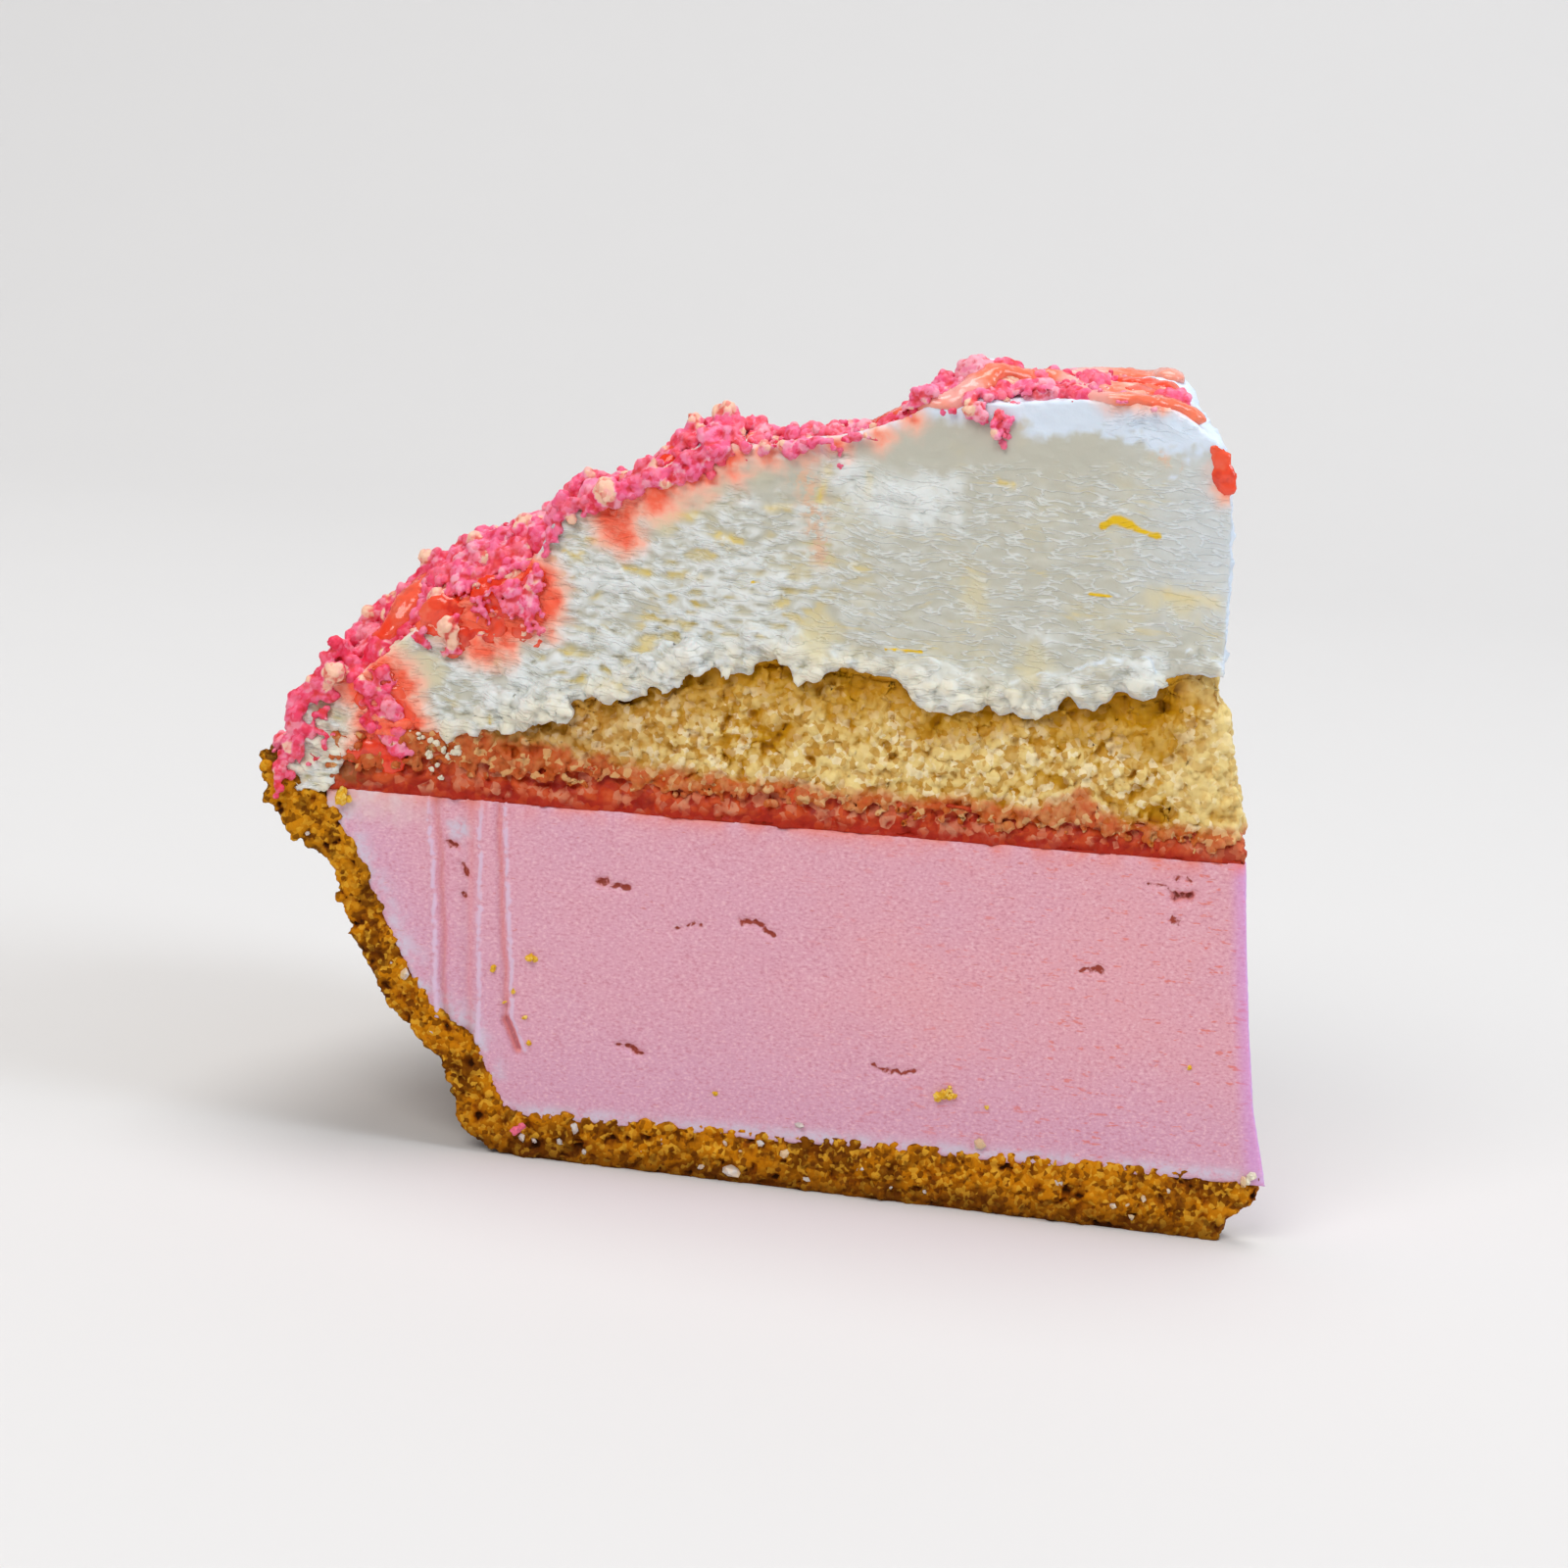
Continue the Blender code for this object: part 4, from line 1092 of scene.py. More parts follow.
def fluffLumps(draw):
    # torn crumbs of cream along the seam with the sponge, on both cuts
    lumps = []
    for _ in range(vanillaCream["fluff"]):
        width = draw.triangular(*vanillaCream["fluffWidth"], 0.9)
        share = 0.0 if draw.random() < 0.6 else 1.0
        station = draw.uniform(0, pie["spongeRadius"])
        bunch = noise.noise(Vector((station / 5, share * 9, 3)))
        if bunch < draw.uniform(-0.45, 0.3):
            continue
        over = draw.triangular(-0.9, 3.2, 0.1)
        place = placeInSlice(station, seamHeight(station, share) + over, share)
        lumps.append((place - intoCut(share) * draw.uniform(-0.3, 0.45), width))
    for start, end, count in vanillaCream["bunches"]:
        for _ in range(count):
            station = draw.uniform(start, end)
            hang = math.sin(math.pi * (station - start) / (end - start))
            place = placeInSlice(station, seamHeight(station, 0) + draw.uniform(-1.6 * hang, 2.2), 0)
            lumps.append((place + Vector((0, -draw.uniform(0.0, 0.8), 0)), draw.triangular(0.9, 3.2, 1.4)))
    return lumps


def scrapeMarks(cream, out, near):
    # long wavy ridges that the knife scraped up, higher towards the rim
    across = cream.height + readOff(vanillaCream["tilt"], out) + 0.7 * waves(cream.place, 5.0, 6.6, 2)
    side = np.where(near, 0.0, 40.0)
    coarse = waves(np.stack((out / 3.6, side, across / 1.1), axis=1), 1.0, 7.4, 3)
    cream.mark("along", out / 3.4 + side)
    cream.mark("across", across / 0.8)
    return np.clip(1 - np.abs(coarse) * 3.0, -0.6, 1)


def shapeCream(cream, out, near):
    # tears, scrapes and smooths the cuts, and keeps what the colours need
    cream.ragged = waves(cream.place, 1.5, 3.3, 4)
    cream.wobble = 1.2 * waves(cream.place, 1.8, 2.9, 2)
    smoothSpots = discNearness(out + cream.wobble, cream.height + cream.wobble, vanillaCream["smooth"], 0.9)
    cream.smooth = smoothSpots * near
    torn = spotNearness(out, cream.height, vanillaCream["torn"], 0.3, 1.5 * waves(cream.place, 2.5, 4.2), 1.6)
    cream.torn = np.clip(torn + 0.9 * cream.lower, 0, 1) * (1 - cream.smooth)
    cream.crest = scrapeMarks(cream, out, near)
    fleck = strokeNearness(out, cream.height + 0.3 * cream.ragged, vanillaCream["flecks"]) * near
    smudge = strokeNearness(out + 0.8 * cream.ragged, cream.height, vanillaCream["smudges"]) * near
    lift = (1 - cream.smooth) * (0.1 + 0.26 * cream.left + 0.15 * cream.torn) * cream.crest
    lift += 0.5 * cream.torn * np.clip(cream.ragged + 0.1, -0.5, 1) + 0.2 * fleck
    lift += 0.4 * cream.lower * waves(cream.place, 0.9, 1.9, 2)
    lift += 0.45 * cream.tip * waves(cream.place, 2.0, 6.9, 3)
    dents = 0.16 * waves(cream.place, 1.2, 5.1, 4) + 0.25 * waves(cream.place, 5.5, 8.0, 2)
    cream.push(cream.shown * lift + (1 - cream.shown) * dents)
    cream.mark("smooth", cream.smooth)
    cream.mark("fleck", fleck)
    cream.mark("smudge", smudge)


def markWhites(cream, out):
    # frost under the top edge, white ridges with painted highlight, white torn crumb, and a calm band without
    # marks
    ragged, torn, smooth = cream.ragged, cream.torn, cream.smooth
    whole = 0.55 * softStep(waves(cream.place, 3.0, 8.1, 3), 0.0, 0.45)
    for start, end, _ in vanillaCream["bunches"]:
        inBunch = softStep(out, start, start + 1.5) * softStep(out, end, end - 1.5)
        whole = np.maximum(whole, 0.9 * inBunch * softStep(ragged, -0.4, 0.2))
    # the crests' white is painted highlight; torn cream and the patches are white of their own
    white = np.clip(cream.crest * 1.2, 0, 1) * (0.2 + 0.8 * cream.left) + torn * (0.4 + 0.9 * ragged)
    patches = discNearness(out + cream.wobble, cream.height, vanillaCream["patches"], 1.2)
    white = np.maximum(white + whole * cream.lower, (0.95 + 0.5 * ragged) * patches)
    overEdge = sectionHeights(lambda s: domeRoof(s, 0), out, "creamRadius") - cream.height
    depth = readOff(vanillaCream["frostDepth"], out) * (1 + 0.6 * ragged)
    # the frost is the cream's own white; its bluish tint is painted cool light
    cream.mark("frost", softStep(depth - overEdge, -1.0, 0.6) * (1 - smooth))
    calm = softStep(7 + 2 * ragged - overEdge, -1.5, 1.5) * (1 - softStep(out, 70, 80)) * (1 - torn)
    cream.mark("white", np.clip(white, 0, 1) * cream.shown * (1 - 0.8 * smooth) * (1 - calm))
    cream.mark("lined", (1 - calm) * cream.shown)
    return calm


def markTints(cream, out, near, seam, calm):
    skin = 1 - cream.shown
    front = softStep(cream.behind, 14, 9) * np.maximum(near, skin)
    blur = 0.9 * waves(cream.place, 2.2, 7.9, 3)
    stains = discNearness(cream.seenOut + blur, cream.seenHeight + blur, vanillaCream["stains"], 2.2)
    cream.mark("stain", stains * front)
    lemon = strokeNearness(out, cream.height + 0.5 * cream.ragged, vanillaCream["lemon"]) * near
    trough = np.clip(-cream.crest * 2, 0, 1) * cream.left * cream.shown
    trough = trough * softStep(waves(cream.place, 5.0, 3.7, 2), -0.1, 0.4)
    cream.mark("trough", np.maximum(trough * (1 - calm), lemon))
    lowest = softStep(seam - cream.height, -3.4, -0.6)
    cream.mark("ivory", lowest * cream.shown * softStep(cream.ragged, -0.5, 0.3))
    # near the point, painted bluish as cool light
    cream.mark("nearPoint", softStep(out, 28, 8) * softStep(cream.height, 62, 72) * cream.shown)
    cream.mark("skin", skin)
    # the tip and the skin near it, painted bluish as cool light
    cream.mark("tip", np.clip(cream.tip + skin * softStep(cream.out, 40, 14), 0, 1))
    cream.mark("outer", skin * softStep(cream.radius, 84, 108))


def creamPaint():
    paint = Paint("vanilla ice cream", vanillaCream)
    place = paint.ownPlace("along", "across")
    # thin white streaks along the scrape marks, a painted highlight on their crests
    streaks = paint.lines(paint.cloud(1.25, 2, place, 1.0), 0.05)
    paint.patterns.update(
        streaks=paint.times(streaks, paint.mask("lined")),
        tints=paint.within(paint.cloud(1.7, 3, place, 1.0), 0.58, 0.68),
        soaked=paint.times(paint.mask("stain"), paint.spread(paint.cloud(2.0, 3), 0.7, 1.15)))
    return paint.mixed()


def makeCream():
    draw = random.Random(vanillaCream["seed"])
    block = sweptLayer("cream_dome", pie["creamRadius"], creamFloor, domeRoof, rows=9)
    fluff = lumpCloud("fluff", fluffLumps(draw), draw, squash=(0.6, 1.3))
    cream = Surface(oneSkin("cream_dome", [block, fluff], vanillaCream["grain"]))
    out, near = outAlongCut(cream), cream.nearCut > cream.farCut
    seam = sectionHeights(spongeHump, out, "spongeRadius")
    cream.lower = softStep(seam - cream.height, -4.2, -0.8)
    cream.left = softStep(out, 42, 68)
    cream.shown = np.clip(cream.cut + cream.tip * 0.7, 0, 1)
    shapeCream(cream, out, near)
    calm = markWhites(cream, out)
    markTints(cream, out, near, seam, calm)
    cream.settle()
    underneath = (cream.facing[:, 2] < -0.2) & (cream.height < readOff(pie["domeTop"], cream.radius) - 3)
    cream.thin(underneath, 1 - cream.shown > 0.9)
    finish(cream.thing, "vanilla_cream", creamPaint(), "vanilla_cream")


makeCream()

# pink crumbs

pinkCrumbs = {
    "grain": 0.36, "edgeGrain": 0.28, "whiter": 50.0, "more": 1.7, "lift": 0.35, "liftOnGlaze": 0.8,
    "count": 112, "widths": (2.6, 5.4), "spacing": 0.82, "sink": 0.18, "margin": 0.45,
    "limits": (2.0, 108.0), "tries": 400, "nearEdgeShare": 0.5, "nearEdgeWidth": 11.0,
    "anywhere": 0.15, "outerRing": (44.0, 58.0), "topDrift": (30.0, 9.0, 0.8),
    "between": 700, "betweenWidths": (1.0, 2.2),
    "dust": 3000, "dustWidths": (0.4, 1.4),
    # crumbs heaped along the shown edge, as seen from the front:
    # (out, height, spread outwards, spread in height, count, biggest width)
    "drifts": (
        (112.2, 39.4, 1, 1.5, 14, 1.6), (111.7, 42.4, 1.5, 1.9, 34, 2.4), (110.8, 45.5, 1.9, 1.9, 36, 2.4),
        (108.4, 49.5, 1.9, 1.7, 34, 2.4), (106.4, 53.1, 1.9, 1.7, 34, 3), (103.7, 56.6, 1.9, 1.9, 40, 2.6),
        (101.5, 60.1, 2.1, 1.9, 44, 2.6), (99.2, 62.7, 2.1, 1.5, 40, 2.8), (101.9, 50.5, 1.7, 1.9, 18, 2.2),
        (100.5, 46.9, 1.9, 1.9, 19, 2.2), (99.2, 44.5, 1.3, 1.1, 8, 1.8), (97, 64.5, 2.3, 1.5, 34, 2.6),
        (92.9, 65.9, 2.8, 1.5, 40, 2.8), (88.6, 66.1, 2.8, 1.7, 44, 2.6), (85.7, 63.5, 1.1, 2.8, 26, 1.8),
        (90.9, 63.0, 4.3, 1.8, 90, 1.5), (94.5, 62.0, 2.4, 1.8, 36, 1.5), (87.6, 61.4, 2.4, 1.6, 24, 1.4),
        (96.7, 60.8, 1.7, 1.5, 14, 1.4), (97.4, 56.6, 0.9, 0.6, 4, 2),
        (89.4, 58.3, 2.1, 1.1, 6, 1.2), (85.2, 59.3, 0.9, 1.5, 8, 1.4), (94.6, 55.3, 1.1, 0.5, 4, 1.8),
        (84.9, 69, 1.3, 1.3, 14, 1.8), (83, 72, 1.5, 1.5, 26, 2.4), (81.6, 74.5, 1.9, 1.3, 34, 3),
        (78.8, 73.5, 1.9, 1.3, 26, 2.4), (76.3, 74.9, 2.1, 1, 24, 2.2), (73.2, 76.3, 2.1, 1, 24, 2.4),
        (70.2, 78.4, 2.1, 1.3, 34, 2.8), (67.7, 80.5, 2.6, 1.5, 42, 3.2), (70.4, 81.2, 1.5, 1.1, 20, 3),
        (65.2, 82, 2.1, 1.5, 36, 3), (62, 81.8, 1.9, 1.3, 28, 2.6), (58.8, 81.6, 1.9, 0.9, 18, 2.2),
        (55.7, 81.9, 1.7, 0.5, 10, 1.6), (52.6, 82.7, 1.7, 0.4, 8, 1.3), (46.3, 87.8, 1.1, 1.5, 22, 2.2),
        (44.3, 88.7, 1.5, 1.3, 28, 2.6), (42.1, 88.3, 1.5, 1.3, 28, 2.4), (39.9, 86.6, 1.3, 1, 16, 2.4),
        (38.3, 88.6, 1.5, 1, 20, 2.2), (36.8, 85.9, 0.9, 0.9, 9, 2), (37.3, 84.6, 0.6, 0.6, 5, 1.4),
        (35.2, 88.8, 1.5, 0.5, 14, 1.6), (32.7, 89.1, 1.5, 0.5, 12, 1.5), (30.1, 89.3, 1.3, 0.4, 9, 1.4),
        (28, 89.3, 0.9, 0.4, 5, 1.2), (24.6, 89.1, 0.4, 0.3, 2, 1.2), (21.3, 89.1, 0.4, 0.3, 2, 1.2),
        (107.5, 45.1, 1.5, 1.7, 6, 1.2), (108.6, 42.2, 1.1, 1.1, 4, 1)),
    # pale cake crumbs among them: (out, height, width)
    "paleOnes": (
        (94.3, 57.8, 3.0), (93.9, 56.6, 2.2), (106.6, 51.6, 3.2), (97.2, 66.6, 3.0), (66.5, 82.6, 3.4),
        (78.3, 74.2, 3.2), (40.4, 87.0, 2.4), (87.8, 62.0, 2.2), (103.0, 60.5, 2.4)),
    "beads": (0.95, 9.1, 0.42, 0.6, 0.25),      # bumps on a heap, like the crust's clumps
    "rimFrom": (92, 102),               # the crumbs grow redder towards the rim
    "pink": (243, 94, 138), "rose": (248, 136, 172), "crimson": (224, 30, 62), "salmon": (250, 102, 108),
    "deepPink": (238, 56, 94), "blush": (246, 172, 186), "cream": (244, 196, 168),
    "pit": (224, 46, 44),
    "finish": {"Roughness": 0.5, "Subsurface Weight": 0.2, "Subsurface Scale": 0.8},
    "crystal": 0.6, "bumps": (("middle", 0.5, -0.2), (("noise", 0.35, 4), 0.3, 0.1)),
    # layers of paint, see Paint.lay
    "layers": (
        ("pink",), ("deepPink", "rim", 0.75), ("rose", ("tone", 0.35, 0.6)),
        ("salmon", ("cloud", 3.2, 2, 0.46, 0.6), 0.65), ("rose", ("crystal", 0.6, 0.95), 0.6),
        ("blush", ("tone", 0.6, 0.72), 0.85), ("crimson", ("tone", 0.25, 0.1), 0.8),
        ("deepPink", "rim", 0.35), ("cream", ("tone", 0.94, 0.97)), ("crimson", ("crystal", 0.2, 0.05), 0.5),
        # painted shade: a darker red in the gaps between the beads
        ("rose", ("cloud", 1.6, 3, 0.5, 0.7), 0.4), ("pit", ("fill", 0.6, 0.15), 0.8)),
    "seed": 7,
}


def crumbDensity(station):
    start, full = pinkCrumbs["outerRing"]
    middle, halfWidth, thickness = pinkCrumbs["topDrift"]
    outer = ease((station - start) / (full - start))
    drift = thickness * math.exp(-((station - middle) / halfWidth) ** 2)
    return mix(pinkCrumbs["anywhere"], 1.0, max(outer, drift))


def crumbSpot(draw):
    # one try at a distance from the pie's middle, or None
    station = pie["rimRadius"] * math.sqrt(draw.random())
    return station if pinkCrumbs["limits"][0] < station < pinkCrumbs["limits"][1] else None


def bigCrumbs(draw):
    # the crumbs that the solid has too: largest first, none closer than its neighbours allow
    widths = sorted((draw.uniform(*pinkCrumbs["widths"]) for _ in range(pinkCrumbs["count"])), reverse=True)
    placed = []
    for width in widths:
        nearEdge = draw.random() < pinkCrumbs["nearEdgeShare"]
        for _ in range(pinkCrumbs["tries"]):
            station = crumbSpot(draw)
            if station is None:
                continue
            arc = max(station * pie["angle"], 1.0)
            reach = min(pinkCrumbs["nearEdgeWidth"], arc) if nearEdge else arc
            margin = min(width * pinkCrumbs["margin"], arc / 2)
            share = draw.uniform(margin, max(margin, reach - margin)) / arc
            if draw.random() > crumbDensity(station):
                continue
            place = domePlace(station, share)
            if all((place - other).length > pinkCrumbs["spacing"] * (width + size) / 2
                   for other, size in placed):
                placed.append((place, width))
                break
    return [(place - Vector((0, 0, pinkCrumbs["sink"] * width)), width) for place, width in placed]


def smallCrumbs(draw, count, widths, around):
    # smaller crumbs, most of them round the big ones
    placed = []
    while len(placed) < count:
        width = draw.triangular(*widths, widths[0])
        if draw.random() < 0.6:
            middle, size = draw.choice(around)
            turn, away = draw.uniform(0, math.tau), size * draw.uniform(0.45, 0.95)
            x, y = middle.x + away * math.cos(turn), middle.y + away * math.sin(turn)
            out, behind = pie["middle"][0] - x, y - pie["middle"][1]
            radius, angle = math.hypot(out, behind), math.atan2(behind, out)
        else:
            radius = crumbSpot(draw)
            if radius is None or draw.random() > crumbDensity(radius):
                continue
            angle = pie["angle"] * draw.random()
        if not 0.01 < angle / pie["angle"] < 0.99 or not 12 < radius < 109:
            continue
        if radius < pinkCrumbs["whiter"] and draw.random() < 0.75:
            continue
        place = domePlace(radius, angle / pie["angle"])
        placed.append((place + Vector((0, 0, draw.uniform(-0.1, 0.35) * width)), width))
    return placed


def driftCrumbs(draw):
    placed = []
    for out, height, spreadOut, spreadHeight, count, biggest in pinkCrumbs["drifts"]:
        for _ in range(round(count * pinkCrumbs["more"])):
            width = draw.triangular(0.5, biggest * 0.85, 0.75)
            seenOut, seenHeight = draw.gauss(out, spreadOut * 0.6), draw.gauss(height, spreadHeight * 0.6)
            place, facing = seenPlace(seenOut, seenHeight, width)
            lift = pinkCrumbs["liftOnGlaze" if biggest <= 1.6 else "lift"]
            placed.append((place + facing * (width * draw.uniform(0, 0.3) + lift), width))
    return placed


def paleCrumbs():
    placed = []
    for out, height, width in pinkCrumbs["paleOnes"]:
        place, facing = seenPlace(out, height, width)
        placed.append((place + facing * width * 0.35, width))
    return placed


def markCrumbs(crumbs, tones, fill):
    crumbs.mark("tone", tones)
    # how full each bead is; the gaps between beads get a painted shade
    crumbs.mark("fill", fill)
    crumbs.mark("rim", softStep(crumbs.radius, *pinkCrumbs["rimFrom"]))


def crumbHeap(name, meshes, crumbs, tones, material, grain):
    heap = Surface(oneSkin(name, meshes, grain))
    size, seed, depth, sunk, uneven = pinkCrumbs["beads"]
    bead, beadTone = grains(heap.place, size, seed)
    heap.push(depth * (bead - sunk) + uneven * (beadTone - 0.5))
    tree = treeOf([place for place, _ in crumbs])
    near = [tree.find_n(p, 5) for p in heap.place.tolist()]
    own = np.array([tones[min(found, key=lambda n: n[2] / crumbs[n[1]][1])[1]] for found in near])
    tone = np.where(own > 0.9, 1.0, np.clip(0.7 * own + 0.25 * beadTone, 0, 0.93))
    markCrumbs(heap, tone, bead)
    heap.settle()
    finish(heap.thing, "pink_crumbs", material)


def makeCrumbs():
    draw = random.Random(pinkCrumbs["seed"])
    big = bigCrumbs(draw)
    between = smallCrumbs(draw, pinkCrumbs["between"], pinkCrumbs["betweenWidths"], big)
    drift, pale = driftCrumbs(draw), paleCrumbs()
    material = Paint("pink biscuit crumb", pinkCrumbs).mixed()
    tones = [draw.random() for _ in big + between]
    cloud = [lumpCloud("big", big, draw, 2, (0.8, 1.15), 0.06), lumpCloud("between", between, draw)]
    crumbHeap("pink_crumbs", cloud, big + between, tones, material, pinkCrumbs["grain"])
    tones = [draw.uniform(0, 0.96) for _ in drift] + [1.0 for _ in pale]
    cloud = [lumpCloud("drift", drift, draw), lumpCloud("pale", pale, draw, 2, (0.6, 1.2), 0.16)]
    crumbHeap("edge_crumbs", cloud, drift + pale, tones, material, pinkCrumbs["edgeGrain"])
    dust = smallCrumbs(draw, pinkCrumbs["dust"], pinkCrumbs["dustWidths"], big)
    crumbs = Surface(newThing("fine_crumbs", lumpCloud("fine_crumbs", dust, draw, 1, (0.65, 1.2), 0.12)))
    tones = np.repeat([draw.random() for _ in dust], len(crumbs.place) // len(dust))
    markCrumbs(crumbs, tones, np.ones(len(tones)))
    crumbs.thing.data.shade_flat()
    finish(crumbs.thing, "pink_crumbs", material)


makeCrumbs()

# strawberry glaze

strawberryGlaze = {
    "grain": 0.42,
    "width": 3.6, "height": 1.9, "rings": 240, "swell": 0.42, "swellSize": 5.0,
    # each drizzle: (outer, inner, middle share, swing, swings, start)
    "drizzles": ((102, 4, 0.19, 0.15, 3.4, 0.75), (103, 12, 0.74, 0.19, 3.1, 0.30)),
    # thin pools on the shown edge, as seen from the front: (out, height, radius, thinness)
    "pools": ((98.3, 60.6, 2.3, 0.2), (95.4, 58.8, 2.6, 0.1), (93, 62.3, 2.8, 0), (89.7, 61.5, 2.8, 0),
              (86.9, 61.3, 2.6, 0), (85.6, 64.1, 1.5, 0.1), (93.1, 56.9, 1.7, 0), (90, 58.3, 1.9, 0.1),
              (86.2, 58.1, 1.5, 0.3), (84.7, 57.2, 0.9, 0.4), (97.5, 57.5, 1.5, 0.3), (93.8, 55.3, 1.1, 0.1),
              (99.1, 57.3, 1.1, 0.6), (101.4, 51.7, 1.5, 0.3), (100.1, 49.1, 2.1, 0.1), (98.8, 46, 1.7, 0.1),
              (101.5, 46.2, 1.7, 0), (101.9, 43.5, 1.7, 0), (99.6, 42.6, 1.7, 0), (98, 47.7, 1.1, 0.5),
              (103.2, 48.8, 1.3, 0.2), (104, 42.7, 1.1, 0.3), (78.8, 73.4, 1.0, 0.5), (77.6, 72, 0.7, 0.6),
              (24.3, 91.5, 1.7, 0.1), (21.7, 91.5, 1.7, 0.1), (19.6, 91.2, 1.3, 0.1),
              (22.7, 90.6, 1.9, 0.2), (26.3, 90.4, 1.1, 0.3), (13.6, 84.2, 1.2, 0.2), (13.2, 82.6, 1.5, 0.1),
              (12.6, 81.3, 1.2, 0.1), (14.3, 85.2, 0.8, 0.4)),
    "filmFrom": 50.0,                   # the drizzles thin out to a film inside this distance
    "red": (244, 58, 18), "deep": (208, 28, 8), "thin": (246, 142, 106), "film": (248, 178, 172),
    "finish": {"Roughness": 0.16, "IOR": 1.45, "Coat Weight": 0.3, "Subsurface Weight": 0.2,
               "Subsurface Scale": 1.4},
    "bumps": ((("noise", 1.4, 3), 0.2, 0.2),),
    # layers of paint, see Paint.lay
    "layers": (
        ("red",), ("deep", ("cloud", 2.2, 3, 0.5, 0.7)), ("thin", "thin"),
        ("film", ("thin", 0.8, 1.15), 0.75), ("thin", ("cloud", 3.5, 3, 0.55, 0.75), 0.5)),
    "seed": 41,
}


def drizzleLumps(outer, inner, middle, swing, swings, start):
    lumps = []
    rings = strawberryGlaze["rings"]
    for ring in range(rings):
        run = ring / (rings - 1)
        share = middle + swing * math.sin(math.tau * (start + swings * run))
        place = domePlace(mix(outer, inner, run), share)
        swell = 1 + strawberryGlaze["swell"] * noise.noise(place / strawberryGlaze["swellSize"])
        lumps.append((place, swell))
    return lumps


def makeGlaze():
    blobs, thinness = [], []
    width, thick = strawberryGlaze["width"], strawberryGlaze["height"]
    for drizzle in strawberryGlaze["drizzles"]:
        for place, swell in drizzleLumps(*drizzle):
            blobs.append((place, (0, 0, 1), width * swell, thick * swell))
            film = 0.6 * ease((strawberryGlaze["filmFrom"] - polar(place)[0]) / 8)
            thinness.append((place, min(max(0.3 + 1.3 * noise.noise(place / 8), 0), 0.8) + film))
    for out, height, radius, thin in strawberryGlaze["pools"]:
        place, facing = seenPlace(out, height, 0.5)
        blobs.append((place - facing * 0.1, facing, radius * 2.1, 1.0 - 0.3 * thin))
        thinness.append((place, thin))
    glaze = Surface(oneSkin("strawberry_glaze", [flatBlobs("glaze", blobs)], strawberryGlaze["grain"]))
    glaze.push(0.22 * waves(glaze.place, 2.4, 2.0, 3) + 0.16 * waves(glaze.place, 0.9, 5.2, 2))
    tree = treeOf([place for place, _ in thinness])
    nearest = [tree.find_n(p, 3) for p in glaze.place.tolist()]
    glaze.mark("thin", [sum(thinness[n[1]][1] for n in found) / len(found) for found in nearest])
    glaze.settle()
    finish(glaze.thing, "strawberry_glaze", Paint("strawberry glaze", strawberryGlaze).mixed())


makeGlaze()

# stray crumbs

strayCrumbs = {
    # yellow cake crumbs on the strawberry cut: (out, height, width)
    "yellow": ((105.2, 38.2, 1.5), (104.4, 38.0, 1.2), (82.3, 22.4, 0.9), (86.4, 20.8, 0.7), (84, 18.6, 0.6),
               (82.6, 15.7, 0.5), (81.9, 12.8, 0.6), (60.8, 9.8, 0.6), (35.6, 12.5, 1.1), (36.4, 12.4, 1.0),
               (34.8, 12.6, 0.8), (35.5, 13.2, 0.8), (31, 11.8, 0.6), (9.7, 18.7, 0.5), (85, 17.2, 0.4)),
    # bits that fell from above: (out, height, width, kind: 1 cream, 2 pink, 3 crimson)
    "fallen": ((97.7, 46.1, 1.1, 1), (96.6, 45.6, 0.8, 1), (95.0, 44.9, 1.2, 1), (94.2, 44.3, 0.8, 1),
               (93.1, 43.9, 0.9, 1), (92.4, 44.6, 1.1, 1), (95.6, 43.6, 0.8, 1), (94.8, 42.4, 0.8, 1),
               (94.2, 41.4, 0.7, 1), (82.1, 3.3, 1.1, 2), (2.2, 7.4, 1.1, 1), (47, 87.5, 0.9, 3),
               (36.6, 86, 1.0, 2), (36.4, 84.7, 1.1, 2), (36.4, 83.4, 0.9, 2), (53.8, 81.0, 0.7, 2),
               (53.6, 79.3, 0.6, 2)),
    "bits": 4,                          # how many bits stick together in each crumb
    "yellowTint": (226, 172, 30), "yellowPale": (242, 210, 110),
    "creamTint": (228, 218, 194), "pinkTint": (240, 110, 140), "crimsonTint": (196, 24, 60),
    "finish": {"Roughness": 0.7, "Subsurface Weight": 0.2, "Subsurface Scale": 0.8},
    "bumps": ((("noise", 0.3, 4), 0.5, 0.1),),
    # layers of paint, see Paint.lay
    "layers": (
        ("yellowTint",), ("yellowPale", ("cloud", 0.6, 3, 0.45, 0.7)), ("creamTint", ("kind", 0.4, 0.6)),
        ("pinkTint", ("kind", 1.4, 1.6)), ("crimsonTint", ("kind", 2.4, 2.6))),
    "seed": 53,
}


def makeStrayCrumbs(draw):
    lumps, kinds = [], []
    for out, height, width, *kind in strayCrumbs["yellow"] + strayCrumbs["fallen"]:
        place, facing = seenPlace(out, height, width)
        for _ in range(strayCrumbs["bits"]):
            shift = Vector([draw.uniform(-0.38, 0.38) * width for _ in range(3)])
            lumps.append((place + facing * width * 0.15 + shift, width * draw.uniform(0.5, 0.85)))
            kinds.append(kind[0] if kind else 0)
    crumbs = Surface(newThing("stray_crumbs", lumpCloud("stray_crumbs", lumps, draw, 2, (0.6, 1.4), 0.25)))
    crumbs.mark("kind", np.repeat(kinds, len(crumbs.place) // len(lumps)))
    finish(crumbs.thing, "sponge_cake", Paint("stray cake crumb", strayCrumbs).mixed())


# sugar in the crust

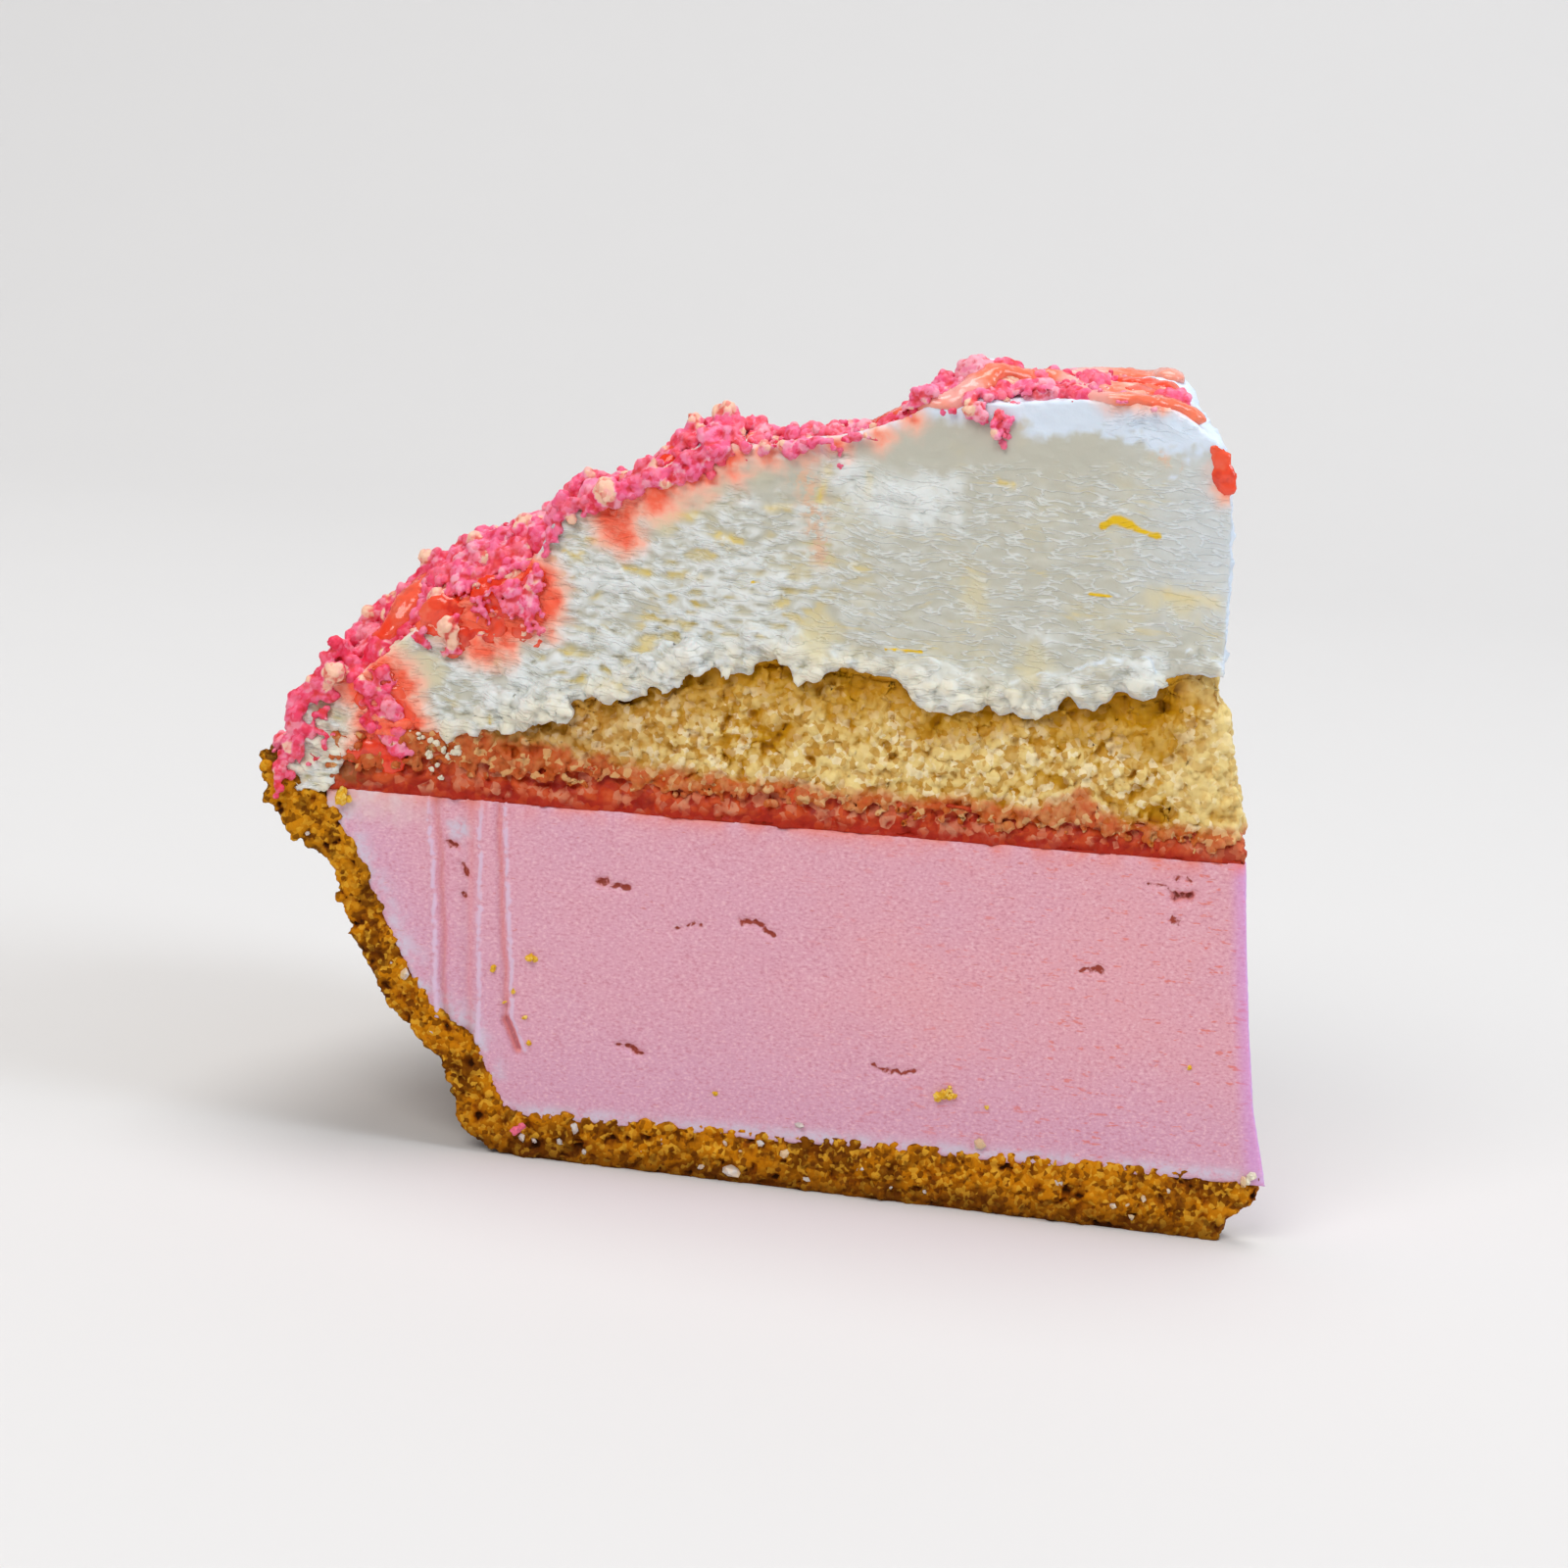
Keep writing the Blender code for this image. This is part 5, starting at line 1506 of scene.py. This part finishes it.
sugarGrains = {
    # grains on the crust's cut: (out, height, width)
    "placed": ((76.1, 3.9, 1.2), (55.4, 4.8, 1.0), (58.3, 1.3, 1.8), (52.6, 4.0, 1.3), (51.3, 7.3, 1.2),
               (31.4, 7.7, 1.5), (2.6, 7.0, 1.8), (66.2, 3.5, 0.9), (44.1, 3.2, 1.0), (27.0, 5.2, 0.9)),
    "sprinkled": 50, "widths": (0.6, 1.2),
    "sugar": (200, 190, 184), "warm": (220, 190, 150),
    "finish": {"Roughness": 0.25, "IOR": 1.5, "Subsurface Weight": 0.3, "Subsurface Scale": 0.8},
    "bumps": ((("noise", 0.3, 3), 0.4, 0.08),),
    "layers": (("sugar",), ("warm", ("cloud", 3.0, 2, 0.5, 0.65))),
}


def makeSugar(draw):
    lumps = [(Vector((pie["middle"][0] - out, pie["middle"][1] - 0.1, height)), width)
             for out, height, width in sugarGrains["placed"]]
    for _ in range(sugarGrains["sprinkled"]):
        width = draw.triangular(*sugarGrains["widths"], sugarGrains["widths"][0])
        station, share = draw.uniform(4, pie["rimRadius"] - 3), draw.choice((0.0, 0.0, 1.0, None))
        if share is None:               # on the outside of the wall
            station = draw.uniform(86, 112)
            place = placeInSlice(station + 0.6, crustOutside(station), draw.random())
        else:
            height = mix(crustFloor(station, 0), crustRoof(station, 0), draw.uniform(0.15, 0.9))
            place = placeInSlice(station, height, share) - intoCut(share) * 0.1
        place.z = max(place.z, width * 0.6)
        lumps.append((place, width))
    sugar = Surface(newThing("sugar_grains", lumpCloud("sugar_grains", lumps, draw, 1, (0.5, 1.3), 0.3)))
    sugar.thing.data.shade_flat()
    finish(sugar.thing, "crumb_crust", Paint("sugar", sugarGrains).mixed())


strayDraw = random.Random(strayCrumbs["seed"])
makeStrayCrumbs(strayDraw)
makeSugar(strayDraw)

# floor, light and camera

studio = {
    "floor": (218, 216, 214), "floorShade": (204, 202, 200),
    "finish": {"Roughness": 0.85}, "layers": (("floor",), ("floorShade", ("noise", 60.0, 2), 0.06)),
    "sky": (0.9, 0.93, 1.0), "skyStrength": 0.32,
    "lampsAimAt": (0, 0, 0.045),
    # each lamp: (name, place, size, power, tint)
    "lamps": (("key", (-0.7, -1.8, 1.8), 1.6, 34.0, (1.0, 0.97, 0.93)),
              ("cool side", (1.8, -0.25, 1.1), 1.2, 19.0, (0.82, 0.9, 1.0)),
              ("top", (0.0, 0.35, 2.2), 1.5, 24.0, (1.0, 1.0, 1.0))),
    # the floor runs level to here, then curves up: (depth, radius, height), in metres
    "sweep": (0.7, 1.0, 3.0), "sweepParts": 24, "floorFrom": -4.0, "floorHalfWidth": 5.0,
    "target": (1.16, -40.1, 44.71), "distance": 398.62,
    "elevation": 9.0, "turn": 6.0, "roll": 5.345, "fieldOfView": 24.0,
}


def makeFloor():
    depth, radius, height = studio["sweep"]
    parts, halfWidth = studio["sweepParts"], studio["floorHalfWidth"]
    line = [(studio["floorFrom"], 0.0), (depth, 0.0)]
    for part in range(1, parts + 1):
        turn = math.tau / 4 * part / parts
        line.append((depth + radius * math.sin(turn), radius * (1 - math.cos(turn))))
    line.append((depth + radius, height))
    corners = [(side, y, z) for side in (-halfWidth, halfWidth) for y, z in line]
    faces = [(n, n + len(line), n + len(line) + 1, n + 1) for n in range(len(line) - 1)]
    mesh = bpy.data.meshes.new("floor")
    mesh.from_pydata(corners, [], faces)
    mesh.shade_smooth()
    mesh.materials.append(Paint("pale floor", studio).mixed())
    newThing("floor", mesh)


def makeStudio():
    makeFloor()
    world = bpy.data.worlds.new("sky")
    world.use_nodes = True
    sky = world.node_tree.nodes["Background"]
    sky.inputs["Color"].default_value = (*studio["sky"], 1.0)
    sky.inputs["Strength"].default_value = studio["skyStrength"]
    scene.world = world
    for name, place, size, power, tint in studio["lamps"]:
        lamp = bpy.data.lights.new(name, "AREA")
        lamp.shape = "DISK"
        lamp.size, lamp.energy, lamp.color = size, power, tint
        thing = newThing(name, lamp)
        thing.location = place
        thing.rotation_mode = "QUATERNION"
        aim = Vector(studio["lampsAimAt"]) - Vector(place)
        thing.rotation_quaternion = aim.to_track_quat("-Z", "Y")


def makeCamera():
    lens = bpy.data.cameras.new("camera")
    lens.sensor_width = 36.0
    lens.lens = 18.0 / math.tan(math.radians(studio["fieldOfView"] / 2))
    lens.clip_start, lens.clip_end = 0.01, 20.0
    camera = newThing("camera", lens)
    tall, turn, roll = (math.radians(studio[k]) for k in ("elevation", "turn", "roll"))
    back = Vector((math.sin(turn) * math.cos(tall), -math.cos(turn) * math.cos(tall), math.sin(tall)))
    side = (-back).cross(Vector((0, 0, 1))).normalized()
    up = side.cross(-back)
    across = side * math.cos(roll) + up * math.sin(roll)
    upward = up * math.cos(roll) - side * math.sin(roll)
    camera.matrix_world = Matrix((across, upward, back)).transposed().to_4x4()
    camera.location = (Vector(studio["target"]) + back * studio["distance"]) * mm
    scene.camera = camera


makeStudio()
makeCamera()
scene.view_settings.view_transform = "Standard"
print("studio: floor, lamps and camera are set")
